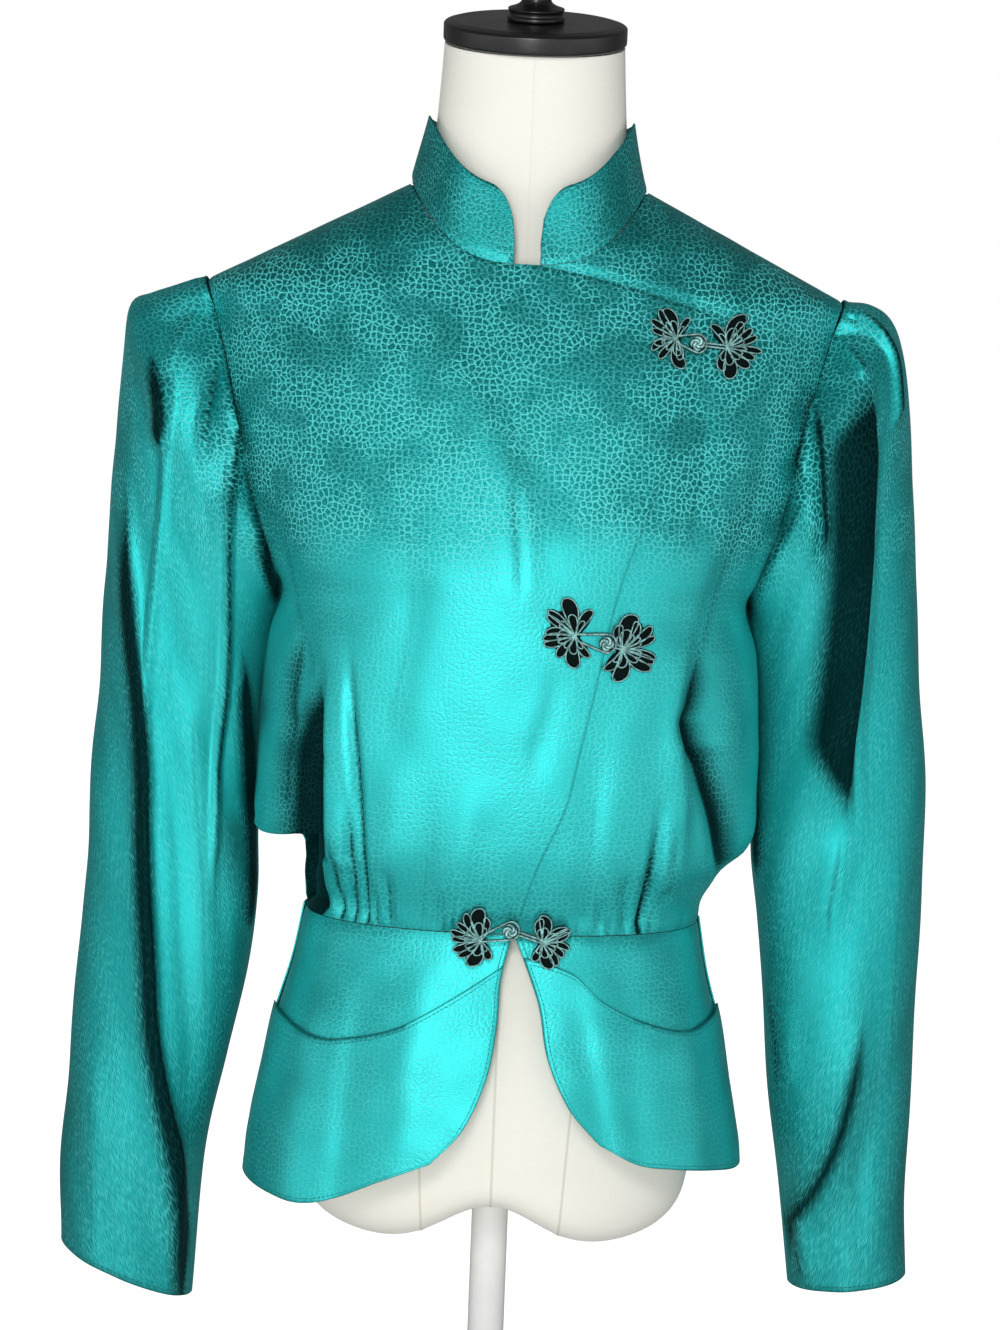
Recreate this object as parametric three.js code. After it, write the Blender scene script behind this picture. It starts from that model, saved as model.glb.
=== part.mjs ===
// A blouse with a mandarin collar, a wrapped front and a peplum, worn on a limbless dress form.
// Millimetres, +Z up. The front faces -Y, and +X is the wearer's left.
// The origin is the centre of the stand's foot, on the floor.

import * as THREE from "three";

// ---------- Driving dimensions ----------

const CLOTH_WALL = 1.2; // wall of every cloth panel
const SEAM_GAP = 0.4; // left between two pieces at a seam
const SHOULDER_DROP = 1.6; // depth of the walls' ends at the shoulder seam
const FULLNESS = 2.3; // how square the body's level sections are, 2 being an ellipse

const WAIST = 318; // height of the waist seam
const UNDERARM = 508; // height where the side seam meets the sleeve
const SHOULDER_TIP = { x: 189, z: 690 };
const NECK_SIDE = { x: 70, z: 750 }; // where the shoulder seam meets the collar
const NECK_FRONT = 703; // lowest point of the neckline, at the centre front
const NECK_BACK = 746;
const COLLAR_GAP = 8; // half of the gap between the collar's front edges

const LAP_CORNER = { x: 110, z: 677 }; // upper corner of the over front
const LAP_SAG = 1.35; // bend of the over front's upper edge, 1 being straight
const LAP_STEP = 4; // how far the under front lies behind the over front
const LAP_HIDDEN = -45; // where the under front's free edge meets the waist
const LAP_HIDDEN_TOP = 3; // and where it meets the neckline

const POLE_RADIUS = 11;
const POLE_CLEARANCE = 1.3; // keeps the pole's flat top below the facets of the form's underside
const BASE_RADIUS = 118;
const BASE_HEIGHT = 14;
const FORM_EXPONENT = 2.1;

// ---------- Short tables, one row for each section ----------

function table(columns, rows) {
  return rows.map((row) => Object.fromEntries(columns.map((name, i) => [name, row[i]])));
}

// Level sections of the worn bodice: half width, and how far front, back and side seam lie from x-z
const BODICE = table(["z", "half", "front", "back", "seam"], [
  [318, 118, -92, 76, -2],
  [332, 120, -98, 81, -2],
  [346, 130, -105, 87, -2],
  [358, 145, -109, 91, -2],
  [372, 151, -112, 94, -1],
  [395, 151, -115, 96, -1],
  [430, 150.2, -117, 98, 0],
  [480, 146.4, -119, 100, 0],
  [508, 139, -120, 101, 0],
  [524, 146, -120, 102, 0],
  [560, 161, -117, 103, 1],
  [600, 172, -108, 102, 2],
  [640, 180, -95, 96, 3],
  [668, 185, -83, 87, 4],
  [690, 189, -73, 76, 4],
  [703, 163, -67, 71, 3],
  [720, 130, -60, 65, 1],
  [735, 100, -47, 60, -2],
  [750, 70, -36, 52, -4],
]);

// The seam that joins sleeve and body, seen from the front
const ARMHOLE = table(["z", "x"], [
  [508, 139],
  [522, 143.5],
  [555, 155],
  [592, 163],
  [636, 173],
  [674, 184],
  [690, 189],
]);

// Free edge of the over front, from the waist up to its corner
const WRAP_EDGE = table(["z", "x"], [
  [318, 7],
  [357, 18],
  [396, 34],
  [424, 40],
  [469, 49],
  [502, 55],
  [536, 64],
  [564, 74],
  [638, 97],
  [677, 110],
]);

// Level sections of the peplum
const PEPLUM = table(["z", "half", "front", "back"], [
  [318, 118, -92, 76],
  [286, 124, -97, 84],
  [254, 133, -103, 92],
  [224, 139, -107, 98],
  [194, 145, -110, 103],
  [155, 150, -113, 107],
]);

// For each front of the peplum: its cut-away front edge, its hem and its pocket mouth
const PEPLUM_FRONTS = {
  right: {
    side: -1,
    edge: table(["z", "x"], [[318, 6], [293, 0.5], [264, -1], [235, -6], [205, -19], [186, -36]]),
    hem: table(["x", "z"], [
      [-152, 158],
      [-128, 156],
      [-110, 155],
      [-93, 160],
      [-64, 174],
      [-36, 186],
    ]),
    mouth: table(["x", "z"], [
      [-152, 258],
      [-130, 257],
      [-103, 250],
      [-85, 253],
      [-56, 262],
      [-28, 279],
      [2, 300],
    ]),
  },
  left: {
    side: 1,
    edge: table(["z", "x"], [[318, 8], [294, 18], [277, 24], [248, 30], [219, 44], [199, 62]]),
    hem: table(["x", "z"], [[62, 199], [85, 187], [105, 183], [130, 178], [152, 171]]),
    mouth: table(["x", "z"], [
      [14, 305],
      [42, 296],
      [58, 281],
      [88, 266],
      [111, 260],
      [129, 265],
      [152, 275],
    ]),
  },
};
const PEPLUM_SIDE_HEM = { right: 158, left: 171 };
const PEPLUM_SEAM = -2; // how far the peplum's side seams lie in front of the x-z plane
const POCKET_STANDS = 2.4; // how far the pocket mouth stands off the panel behind it

// Rings of each sleeve from the shoulder to the wrist: the outermost and the innermost point seen
// from the front, half of the ring's depth from front to back, and how far its middle lies behind x-z
const SLEEVE_COLUMNS = ["outerX", "outerZ", "innerX", "innerZ", "depth", "behind"];
const SLEEVES = {
  right: {
    side: -1,
    rings: table(SLEEVE_COLUMNS, [
      [189, 690, 139, 508, 45, 0],
      [205, 689, 142, 506, 55, 3],
      [222, 681, 144, 501, 60, 7],
      [234, 666, 146, 490, 62, 11],
      [238, 638, 148, 474, 60, 15],
      [242, 590, 150, 452, 57, 19],
      [245, 530, 151.5, 424, 54, 22],
      [248, 465, 151.5, 392, 50, 24],
      [251, 400, 151, 356, 47, 24],
      [253, 340, 150, 320, 44, 22],
      [256, 275, 154, 275, 42, 18],
      [259, 213, 165, 220, 40, 12],
      [262, 158, 176, 162, 38, 8],
      [260, 106, 181, 75, 36, 4],
    ]),
  },
  left: {
    side: 1,
    rings: table(SLEEVE_COLUMNS, [
      [189, 690, 139, 508, 45, 0],
      [206, 690, 142, 508, 55, 3],
      [219, 680, 144, 502, 60, 7],
      [227, 662, 146, 491, 62, 11],
      [232, 628, 148, 474, 60, 15],
      [237, 577, 150, 452, 57, 19],
      [243, 517, 151.5, 424, 54, 22],
      [248, 462, 151.5, 392, 50, 24],
      [253, 400, 151.5, 356, 47, 24],
      [255, 338, 157, 316, 44, 22],
      [254, 275, 162, 272, 42, 18],
      [252, 210, 167, 215, 40, 12],
      [252, 152, 176, 157, 38, 8],
      [254, 104, 184, 96, 36, 4],
    ]),
  },
};
const HEAD_FADE = [1, 0.6, 0.28, 0.1]; // share of the armhole's own outline left in the first rings

// Largest folds of the sleeves: where round the ring in degrees (0 outer, 90 front, 180 inner), from
// which to which ring, how wide in degrees, and how far out they stand
const SLEEVE_FOLDS = table(["angle", "start", "end", "width", "rise"], [
  [48, 0.4, 7, 16, -7],
  [78, 0.4, 4.5, 12, -5],
  [118, 1, 11, 17, -8],
  [-60, 0.4, 6, 16, -6],
  [-115, 2, 12, 18, -7],
]);

// Largest folds of the bodice: from a point high on the panel to a point near the waist
const FOLD_COLUMNS = ["topX", "topZ", "footX", "footZ", "width", "rise"];
const FRONT_FOLDS = table(FOLD_COLUMNS, [
  [-112, 470, -108, 322, 9, 5],
  [-92, 440, -76, 322, 9, -4],
  [-60, 420, -66, 322, 8, 3],
  [-40, 400, -44, 322, 8, -3],
  [96, 480, 86, 322, 9, 5],
  [72, 400, 72, 322, 8, -3],
  [128, 480, 104, 322, 10, -5],
]);
const BACK_FOLDS = table(FOLD_COLUMNS, [
  [-104, 470, -92, 322, 10, 4],
  [-78, 430, -66, 322, 9, -4],
  [-40, 455, -36, 322, 10, 3],
  [38, 440, 34, 322, 9, 4],
  [66, 470, 62, 322, 10, -4],
  [100, 430, 90, 322, 10, 4],
]);

// Level sections of the dress form: half width, front, back, and how much the section tips forward
const FORM = table(["z", "half", "front", "back", "tip"], [
  [180, 119, -84, 88, 0],
  [215, 122, -90, 91, 0],
  [250, 120, -90, 88, 0],
  [290, 111, -84, 74, 0],
  [318, 105, -80, 66, 0],
  [350, 107, -82, 67, 0],
  [400, 114, -88, 75, 0],
  [450, 122, -98, 83, 0],
  [500, 130, -108, 89, 0],
  [540, 137, -109, 91, 0],
  [580, 147, -100, 92, 0],
  [620, 156, -87, 88, 0],
  [655, 160, -71, 78, 0],
  [680, 156, -60, 68, 0],
  [700, 141, -54, 61, 0],
  [718, 105.5, -49, 54, 0],
  [734, 70.5, -46, 45.5, 0],
  [750, 59, -47, 40, 0.03],
  [780, 56.5, -50, 39, 0.12],
  [808, 54.5, -53, 37, 0.2],
  [833, 53, -57, 34, 0.25],
]);
const FORM_LOBE_DEPTH = 61; // how far the form's two lobes reach below its lowest section
const FORM_NOTCH = 0.46; // share of that depth left out between the lobes
const FORM_NOTCH_WIDTH = 38;

const NECK_CAP = { radius: 54, height: 13, tilt: 14, y: -11.5, z: 834 };
const FINIAL = table(["radius", "height"], [
  [17, 0],
  [17, 7],
  [9, 10],
  [8, 17],
  [14, 22],
  [17, 30],
  [13, 38],
  [5, 42],
]);

// Frogs: centre of each half, its half width and height, and the ball knot's place
const LOOP_SIDE = ["loopX", "loopZ", "loopW", "loopH"];
const KNOT_SIDE = ["knotX", "knotZ", "sideX", "sideZ", "sideW", "sideH"];
const FROGS = table([...LOOP_SIDE, ...KNOT_SIDE], [
  [82.5, 663, 10, 19, 99.2, 661.5, 122, 660, 15.4, 19],
  [30.4, 494, 13.5, 20, 53.5, 490.5, 73, 487, 13.2, 19],
  [-16.3, 315.5, 12.9, 16.5, 5, 322, 28.5, 315, 12.4, 16.5],
]);
const PETALS = 5;
const FROG_THICKNESS = 2.4;
const FROG_LIFT = 0.65; // gap that lets a flat plate clear the facets of the curved panel
const KNOT_RADIUS = 4.4;
const LOOP_CORD = 1.1;
const LOOP_REACH = KNOT_RADIUS + LOOP_CORD + SEAM_GAP; // from the knot's centre to the loop's cord
const LOOP_RADIUS = Math.sqrt(LOOP_REACH ** 2 - (KNOT_RADIUS - LOOP_CORD) ** 2);
const BRIDGE = { top: 331, foot: 297 }; // heights between which the waist frog spans the seam

// ---------- Materials ----------

function finish(color, roughness, metalness = 0) {
  return new THREE.MeshStandardMaterial({ color, roughness, metalness });
}
const SATIN = () => finish(0x1fa8a4, 0.35);
const CORD = () => finish(0x0b3d3d, 0.4);
const LINEN = () => finish(0xf1e9d8, 0.9);
const BLACK_WOOD = () => finish(0x111111, 0.3);
const PALE_PAINT = () => finish(0xf4f4f2, 0.5);

// ---------- Reading the tables ----------

// A smooth curve through one column of a table, read at a place along another column
function read(rows, key, place, column) {
  const up = rows[rows.length - 1][key] > rows[0][key];
  const list = up ? rows : [...rows].reverse();
  const last = list.length - 1;
  const at = Math.min(Math.max(place, list[0][key]), list[last][key]);
  let i = 0;
  while (i < last - 1 && list[i + 1][key] < at) i += 1;
  const slope = (k) => {
    const a = list[Math.max(k - 1, 0)];
    const b = list[Math.min(k + 1, last)];
    return (b[column] - a[column]) / (b[key] - a[key]);
  };
  const span = list[i + 1][key] - list[i][key];
  const t = (at - list[i][key]) / span;
  const t2 = t * t;
  const t3 = t2 * t;
  return (
    (2 * t3 - 3 * t2 + 1) * list[i][column] +
    (t3 - 2 * t2 + t) * span * slope(i) +
    (3 * t2 - 2 * t3) * list[i + 1][column] +
    (t3 - t2) * span * slope(i + 1)
  );
}

const mix = (a, b, t) => a + (b - a) * t;
const clamp = (value) => Math.min(Math.max(value, 0), 1);
const smooth = (value) => clamp(value) ** 2 * (3 - 2 * clamp(value));

// Share of a section's depth that is left at a distance from its middle
function roundness(x, half) {
  return (1 - Math.min(Math.abs(x) / half, 1) ** FULLNESS) ** (1 / FULLNESS);
}

// ---------- Walls of cloth ----------

function cross(grid, i, j, closed) {
  const rows = grid.length;
  const columns = grid[0].length;
  const before = closed ? (j + columns - 1) % columns : Math.max(j - 1, 0);
  const after = closed ? (j + 1) % columns : Math.min(j + 1, columns - 1);
  const along = grid[i][after].clone().sub(grid[i][before]);
  const down = grid[Math.min(i + 1, rows - 1)][j].clone().sub(grid[Math.max(i - 1, 0)][j]);
  return along.cross(down).normalize();
}

// Moves every point of a grid along its normal
function offset(grid, distance, closed = false) {
  return grid.map((row, i) =>
    row.map((point, j) => point.clone().addScaledVector(cross(grid, i, j, closed), distance)),
  );
}

function solidFromTriangles(points, triangles) {
  const geometry = new THREE.BufferGeometry();
  let volume = 0;
  for (const [a, b, c] of triangles) {
    volume += points[a].dot(points[b].clone().cross(points[c]));
  }
  const index = triangles.flatMap(([a, b, c]) => (volume > 0 ? [a, b, c] : [a, c, b]));
  const position = points.flatMap((point) => [point.x, point.y, point.z]);
  geometry.setAttribute("position", new THREE.Float32BufferAttribute(position, 3));
  geometry.setIndex(index);
  geometry.computeVertexNormals();
  return geometry;
}

// Joins two grids of the same size into one closed wall with a rim round its edges
function wallBetween(outer, inner, closed = false) {
  const rows = outer.length;
  const columns = outer[0].length;
  const points = [...outer.flat(), ...inner.flat()];
  const under = rows * columns;
  const id = (i, j) => i * columns + (j % columns);
  const triangles = [];
  const quad = (a, b, c, d) => triangles.push([a, b, c], [a, c, d]);
  const steps = closed ? columns : columns - 1;
  for (let i = 0; i < rows - 1; i += 1) {
    for (let j = 0; j < steps; j += 1) {
      quad(id(i, j), id(i, j + 1), id(i + 1, j + 1), id(i + 1, j));
      quad(under + id(i, j), under + id(i + 1, j), under + id(i + 1, j + 1), under + id(i, j + 1));
    }
  }
  for (let j = 0; j < steps; j += 1) {
    quad(id(0, j + 1), id(0, j), under + id(0, j), under + id(0, j + 1));
    quad(id(rows - 1, j), id(rows - 1, j + 1), under + id(rows - 1, j + 1), under + id(rows - 1, j));
  }
  for (let i = 0; i < rows - 1 && !closed; i += 1) {
    const [near, far] = [id(i, columns - 1), id(i + 1, columns - 1)];
    quad(id(i, 0), id(i + 1, 0), under + id(i + 1, 0), under + id(i, 0));
    quad(far, near, under + near, under + far);
  }
  return solidFromTriangles(points, triangles);
}

// A grid of points from a function of two stations, and the wall of cloth just inside it
function gridOf(rowStations, columnStations, place) {
  return rowStations.map((b) => columnStations.map((a) => place(a, b)));
}

function clothWall(grid, inward, closed = false) {
  return wallBetween(grid, offset(grid, inward * CLOTH_WALL, closed), closed);
}

// ---------- Bodice ----------

function foldRelief(folds, x, z) {
  let relief = 0;
  for (const fold of folds) {
    const t = (fold.topZ - z) / (fold.topZ - fold.footZ);
    const away = (x - mix(fold.topX, fold.footX, clamp(t))) / fold.width;
    relief += fold.rise * smooth(t * 1.6) * Math.exp(-away * away);
  }
  return relief * smooth((z - WAIST) / 16);
}

// Half width of a level section; above the shoulder tip its ends lie on the shoulder seams
function bodiceHalf(z) {
  if (z < SHOULDER_TIP.z) return read(BODICE, "z", z, "half");
  return mix(SHOULDER_TIP.x, NECK_SIDE.x, (z - SHOULDER_TIP.z) / (NECK_SIDE.z - SHOULDER_TIP.z));
}

function frontDepth(x, z) {
  const half = bodiceHalf(z);
  const seam = read(BODICE, "z", z, "seam") - SEAM_GAP / 2;
  const reach = roundness(x, half);
  return seam + (read(BODICE, "z", z, "front") - seam - foldRelief(FRONT_FOLDS, x, z)) * reach;
}

function backDepth(x, z) {
  const half = bodiceHalf(z);
  const seam = read(BODICE, "z", z, "seam") + SEAM_GAP / 2;
  const reach = roundness(x, half);
  return seam + (read(BODICE, "z", z, "back") - seam + foldRelief(BACK_FOLDS, x, z)) * reach;
}

function shoulderHeight(x) {
  const t = (Math.abs(x) - NECK_SIDE.x) / (SHOULDER_TIP.x - NECK_SIDE.x);
  return mix(NECK_SIDE.z, SHOULDER_TIP.z, clamp(t));
}

function frontNeckHeight(x) {
  return mix(NECK_FRONT, NECK_SIDE.z, clamp(Math.abs(x) / NECK_SIDE.x) ** 3);
}

function backNeckHeight(x) {
  return mix(NECK_BACK, NECK_SIDE.z, clamp(Math.abs(x) / NECK_SIDE.x) ** 2);
}

function frontTop(x) {
  return Math.abs(x) < NECK_SIDE.x ? frontNeckHeight(x) : shoulderHeight(x);
}

function backTop(x) {
  return Math.abs(x) < NECK_SIDE.x ? backNeckHeight(x) : shoulderHeight(x);
}

// Upper edge of the over front: the neckline as far as the centre, then down to the lap's corner
function overFrontTop(x) {
  return x < 0 ? frontTop(x) : mix(NECK_FRONT, LAP_CORNER.z, clamp(x / LAP_CORNER.x) ** LAP_SAG);
}

// How far the over front reaches across at a height
function lapReach(z) {
  if (z <= LAP_CORNER.z) return read(WRAP_EDGE, "z", z, "x");
  return LAP_CORNER.x * clamp((NECK_FRONT - z) / (NECK_FRONT - LAP_CORNER.z)) ** (1 / LAP_SAG);
}

const sideX = (z) => (z < UNDERARM ? read(BODICE, "z", z, "half") : read(ARMHOLE, "z", z, "x"));

const ROWS_BELOW = [318, 327, 338, 350, 364, 385, 412, 445, 478, UNDERARM];
const ROWS_ABOVE = [0.12, 0.28, 0.44, 0.6, 0.75, 0.87, 0.95, 1];
const BODICE_ROWS = [...ROWS_BELOW.map((z) => ({ z })), ...ROWS_ABOVE.map((rise) => ({ rise }))];

// Place on a panel whose two sides and top edge are given as functions
function panelPoint(a, row, panel) {
  const topX = mix(panel.firstX(UNDERARM, 1), panel.lastX(UNDERARM, 1), a);
  const rise = row.rise ?? 0;
  const base = row.z ?? UNDERARM;
  const x = mix(panel.firstX(base, rise), panel.lastX(base, rise), a);
  const z = mix(base, panel.top(topX), rise) + (base === WAIST && rise === 0 ? SEAM_GAP / 2 : 0);
  return new THREE.Vector3(x, panel.depth(x, z), z);
}

const armX = (z, rise) => sideX(rise > 0 ? mix(UNDERARM, SHOULDER_TIP.z, rise) : z);

function wrapX(z, rise) {
  return read(WRAP_EDGE, "z", rise > 0 ? mix(UNDERARM, LAP_CORNER.z, rise) : z, "x");
}

function overFront() {
  const nearSide = [0, 0.015, 0.06, 0.13, 0.21, 0.3, 0.4];
  const nearNeck = [0.425, 0.455, 0.49, 0.54, 0.59, 0.633];
  return gridOf(BODICE_ROWS, [...nearSide, ...nearNeck, 0.71, 0.79, 0.89, 1], (a, row) =>
    panelPoint(a, row, {
      firstX: (z, rise) => -armX(z, rise),
      lastX: wrapX,
      top: overFrontTop,
      depth: frontDepth,
    }),
  );
}

// The under front sinks behind the over front near and beyond the wrap edge
function underFrontDepth(x, z) {
  return frontDepth(x, z) + LAP_STEP * (1 - smooth((x - lapReach(z) - 4) / 30));
}

function underFront() {
  const nearNeck = [0, 0.08, 0.16, 0.23, 0.28, 0.32, 0.36];
  const nearSide = [0.76, 0.85, 0.92, 0.97, 0.992, 1];
  const free = (z, rise) => {
    const below = (0.5 * (z - WAIST)) / (UNDERARM - WAIST);
    return mix(LAP_HIDDEN, LAP_HIDDEN_TOP, rise > 0 ? mix(0.5, 1, rise) : below);
  };
  return gridOf(BODICE_ROWS, [...nearNeck, 0.46, 0.56, 0.66, ...nearSide], (a, row) =>
    panelPoint(a, row, { firstX: free, lastX: armX, top: frontTop, depth: underFrontDepth }),
  );
}

function backPanel() {
  const half = [0, 0.01, 0.035, 0.08, 0.14, 0.22, 0.315, 0.405];
  const stations = [...half, 0.5, ...half.map((a) => 1 - a).reverse()];
  return gridOf(BODICE_ROWS, stations, (a, row) =>
    panelPoint(a, row, {
      firstX: armX,
      lastX: (z, rise) => -armX(z, rise),
      top: backTop,
      depth: backDepth,
    }),
  );
}

// A bodice panel's wall. Its inner edge drops straight down at the shoulder seam, so that the
// front and the back meet there without crossing.
function bodiceWall(grid) {
  const inner = offset(grid, -CLOTH_WALL);
  const last = grid.length - 1;
  grid[last].forEach((point, j) => {
    const besideNeck = Math.abs(point.x) >= NECK_SIDE.x - 0.1;
    const onSeam = besideNeck && Math.abs(point.z - shoulderHeight(point.x)) < 0.01;
    if (onSeam) inner[last][j].copy(point).setZ(point.z - SHOULDER_DROP);
  });
  return wallBetween(grid, inner);
}

// ---------- Collar ----------

const COLLAR_SEAM = 0.8; // gap above the neckline
const COLLAR_HEIGHT = 44;
const COLLAR_FALL = 10; // how much lower it stands at the centre back
const COLLAR_EDGE = 12; // height of the collar's straight front edge, below its rounded corner
const COLLAR_CORNER = 20; // radius of that corner
const COLLAR_LEAN = 10.3; // how far the upper edge leans in towards the neck
const NECK_OVAL = 1.15; // shape of the neckline seen from above, 1 being an ellipse

// One point of the neckline, from the front gap (0) round one side to the centre back (1)
function necklinePoint(t, side) {
  const turn = mix(Math.asin((COLLAR_GAP / NECK_SIDE.x) ** NECK_OVAL), Math.PI, t);
  const x = NECK_SIDE.x * Math.abs(Math.sin(turn)) ** (1 / NECK_OVAL);
  const isFront = turn < Math.PI / 2;
  const z = isFront ? frontNeckHeight(x) : backNeckHeight(x);
  const y = isFront ? frontDepth(x, z) : backDepth(x, z);
  return new THREE.Vector3(side * x, y, z + COLLAR_SEAM);
}

function collar() {
  const halfStations = [0, 0.04, 0.09, 0.15, 0.22, 0.3, 0.39, 0.46, 0.52, 0.6, 0.7, 0.84];
  const right = halfStations.map((t) => ({ t, side: -1 }));
  const left = halfStations.map((t) => ({ t, side: 1 })).reverse();
  const columns = [...right, { t: 1, side: 1 }, ...left];
  return gridOf([0, 0.3, 0.65, 1], columns, ({ t, side }, v) => {
    const base = necklinePoint(t, side);
    const fromEdge = base.distanceTo(necklinePoint(0, side)) / COLLAR_CORNER;
    const corner = Math.sqrt(1 - (1 - clamp(fromEdge)) ** 2);
    const rise = mix(COLLAR_EDGE, COLLAR_HEIGHT - COLLAR_FALL * t, corner);
    const lean = new THREE.Vector3(-base.x, -4 - base.y, 0).normalize();
    const move = COLLAR_LEAN * (rise / COLLAR_HEIGHT) * v * (1.15 - 0.15 * v);
    return base.addScaledVector(lean, move).setZ(base.z + rise * v);
  });
}

// ---------- Sleeves ----------

function armholePoint(turn, side) {
  const z = mix(SHOULDER_TIP.z, UNDERARM, (1 - Math.cos(turn)) / 2);
  const x = read(ARMHOLE, "z", z, "x");
  const y = Math.sin(turn) > 0 ? frontDepth(x, z) : backDepth(x, z);
  const nearUnderarm = smooth((UNDERARM + 20 - z) / 20);
  return new THREE.Vector3(side * (x + 0.6), y, z + 1.2 * nearUnderarm);
}

function ringPoint(ring, turn, side) {
  const along = Math.cos(turn) / 2;
  return new THREE.Vector3(
    side * ((ring.outerX + ring.innerX) / 2 + (ring.outerX - ring.innerX) * along),
    ring.behind - ring.depth * Math.sin(turn),
    (ring.outerZ + ring.innerZ) / 2 + (ring.outerZ - ring.innerZ) * along,
  );
}

function sleeveRelief(ringNumber, degrees) {
  let relief = 0;
  for (const fold of SLEEVE_FOLDS) {
    const away = ((((degrees - fold.angle) % 360) + 540) % 360) - 180;
    const t = (ringNumber - fold.start) / (fold.end - fold.start);
    const taper = t > 0 && t < 1 ? Math.sin(Math.PI * t) ** 0.6 : 0;
    relief += fold.rise * taper * Math.exp(-((away / fold.width) ** 2));
  }
  return relief;
}

function sleeve({ rings, side }) {
  const turns = Array.from({ length: 24 }, (_, k) => (k / 24) * 2 * Math.PI);
  return rings.map((ring, number) =>
    turns.map((turn) => {
      const point = ringPoint(ring, turn, side);
      const own = armholePoint(turn, side).sub(ringPoint(rings[0], turn, side));
      point.addScaledVector(own, HEAD_FADE[number] ?? 0);
      const across = ringPoint(ring, turn + Math.PI, side);
      const centre = ringPoint(ring, turn, side).add(across).divideScalar(2);
      const out = point.clone().sub(centre).normalize();
      return point.addScaledVector(out, sleeveRelief(number, (turn * 180) / Math.PI));
    }),
  );
}

// ---------- Peplum ----------

function peplumDepth(x, z, isFront) {
  const half = read(PEPLUM, "z", z, "half");
  const depth = read(PEPLUM, "z", z, isFront ? "front" : "back") - PEPLUM_SEAM;
  const gap = isFront ? -SEAM_GAP / 2 : SEAM_GAP / 2;
  return PEPLUM_SEAM + gap + depth * roundness(x, half);
}

const peplumSide = (z) => read(PEPLUM, "z", z, "half");
const PEPLUM_TOP = WAIST - SEAM_GAP / 2;

// Place on a peplum front: a runs from the front edge to the side seam, b from the waist to the hem
function peplumPoint(front, sideHem, a, b) {
  const edgeFoot = front.edge[front.edge.length - 1];
  const edgeZ = mix(PEPLUM_TOP, edgeFoot.z, b);
  const sideZ = mix(PEPLUM_TOP, sideHem, b);
  const x = mix(read(front.edge, "z", edgeZ, "x"), front.side * peplumSide(sideZ), a);
  const hemX = mix(edgeFoot.x, front.side * peplumSide(sideHem), a);
  const z = mix(PEPLUM_TOP, read(front.hem, "x", hemX, "z"), b);
  return new THREE.Vector3(x, peplumDepth(x, z, true), z);
}

const PEPLUM_STATIONS = [0, 0.1, 0.22, 0.36, 0.5, 0.64, 0.77, 0.88, 0.96, 0.99, 1];

function peplumFront(front, sideHem) {
  const edge = (b) => 0.985 * b; // the under panel stops just short of the pocket panel's hem
  return gridOf([0, 0.16, 0.32, 0.5, 0.68, 0.84, 1], PEPLUM_STATIONS, (a, b) =>
    peplumPoint(front, sideHem, a, edge(b)),
  );
}

// The pocket panel lies on the peplum front, from the pocket mouth down to the hem
function pocketPanel(front, sideHem) {
  const mouthShare = (a) => {
    let b = 0.3;
    for (let step = 0; step < 12; step += 1) {
      const point = peplumPoint(front, sideHem, a, b);
      b = clamp(b + (point.z - read(front.mouth, "x", point.x, "z")) / (PEPLUM_TOP - sideHem));
    }
    return b;
  };
  const grid = gridOf([0, 0.2, 0.4, 0.6, 0.8, 1], PEPLUM_STATIONS, (a, v) =>
    peplumPoint(front, sideHem, a, mix(mouthShare(a), 1, v)),
  );
  return grid.map((row, i) =>
    row.map((point, j) => {
      const v = i / (grid.length - 1);
      const a = PEPLUM_STATIONS[j];
      const stand = POCKET_STANDS * (1 - v) * Math.sin(Math.PI * Math.min(a, 0.8)) ** 0.5;
      const out = cross(grid, i, j, false).multiplyScalar(-front.side);
      return point.clone().addScaledVector(out, CLOTH_WALL + SEAM_GAP + stand);
    }),
  );
}

function peplumBack() {
  const half = [0, 0.01, 0.04, 0.09, 0.16, 0.25, 0.37];
  const stations = [...half, 0.5, ...half.map((a) => 1 - a).reverse()];
  return gridOf([0, 0.16, 0.32, 0.5, 0.68, 0.84, 1], stations, (a, b) => {
    const z = mix(PEPLUM_TOP, mix(PEPLUM_SIDE_HEM.left, PEPLUM_SIDE_HEM.right, a), b);
    const x = mix(peplumSide(z), -peplumSide(z), a);
    return new THREE.Vector3(x, peplumDepth(x, z, false), z);
  });
}

// ---------- Frogs ----------

// Outermost surface of the blouse's front
function visibleFront(x, z) {
  if (z <= WAIST) return peplumDepth(x, z, true);
  return x > lapReach(z) ? underFrontDepth(x, z) : frontDepth(x, z);
}

// The same, with a straight bridge over the dip at the waist seam
function bridgedFront(x, z) {
  if (z > BRIDGE.top) return visibleFront(x, z);
  const foot = peplumDepth(x, BRIDGE.foot, true) - CLOTH_WALL - POCKET_STANDS / 2;
  return mix(foot, visibleFront(x, BRIDGE.top), (z - BRIDGE.foot) / (BRIDGE.top - BRIDGE.foot));
}

// How far forward a small round piece has to sit to clear the cloth all round it
function seatDepth(x, z, reach) {
  const around = Array.from({ length: 8 }, (_, k) => {
    const turn = (k / 4) * Math.PI;
    return visibleFront(x + reach * Math.cos(turn), z + reach * Math.sin(turn));
  });
  return Math.min(...around) - FROG_LIFT;
}

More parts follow.
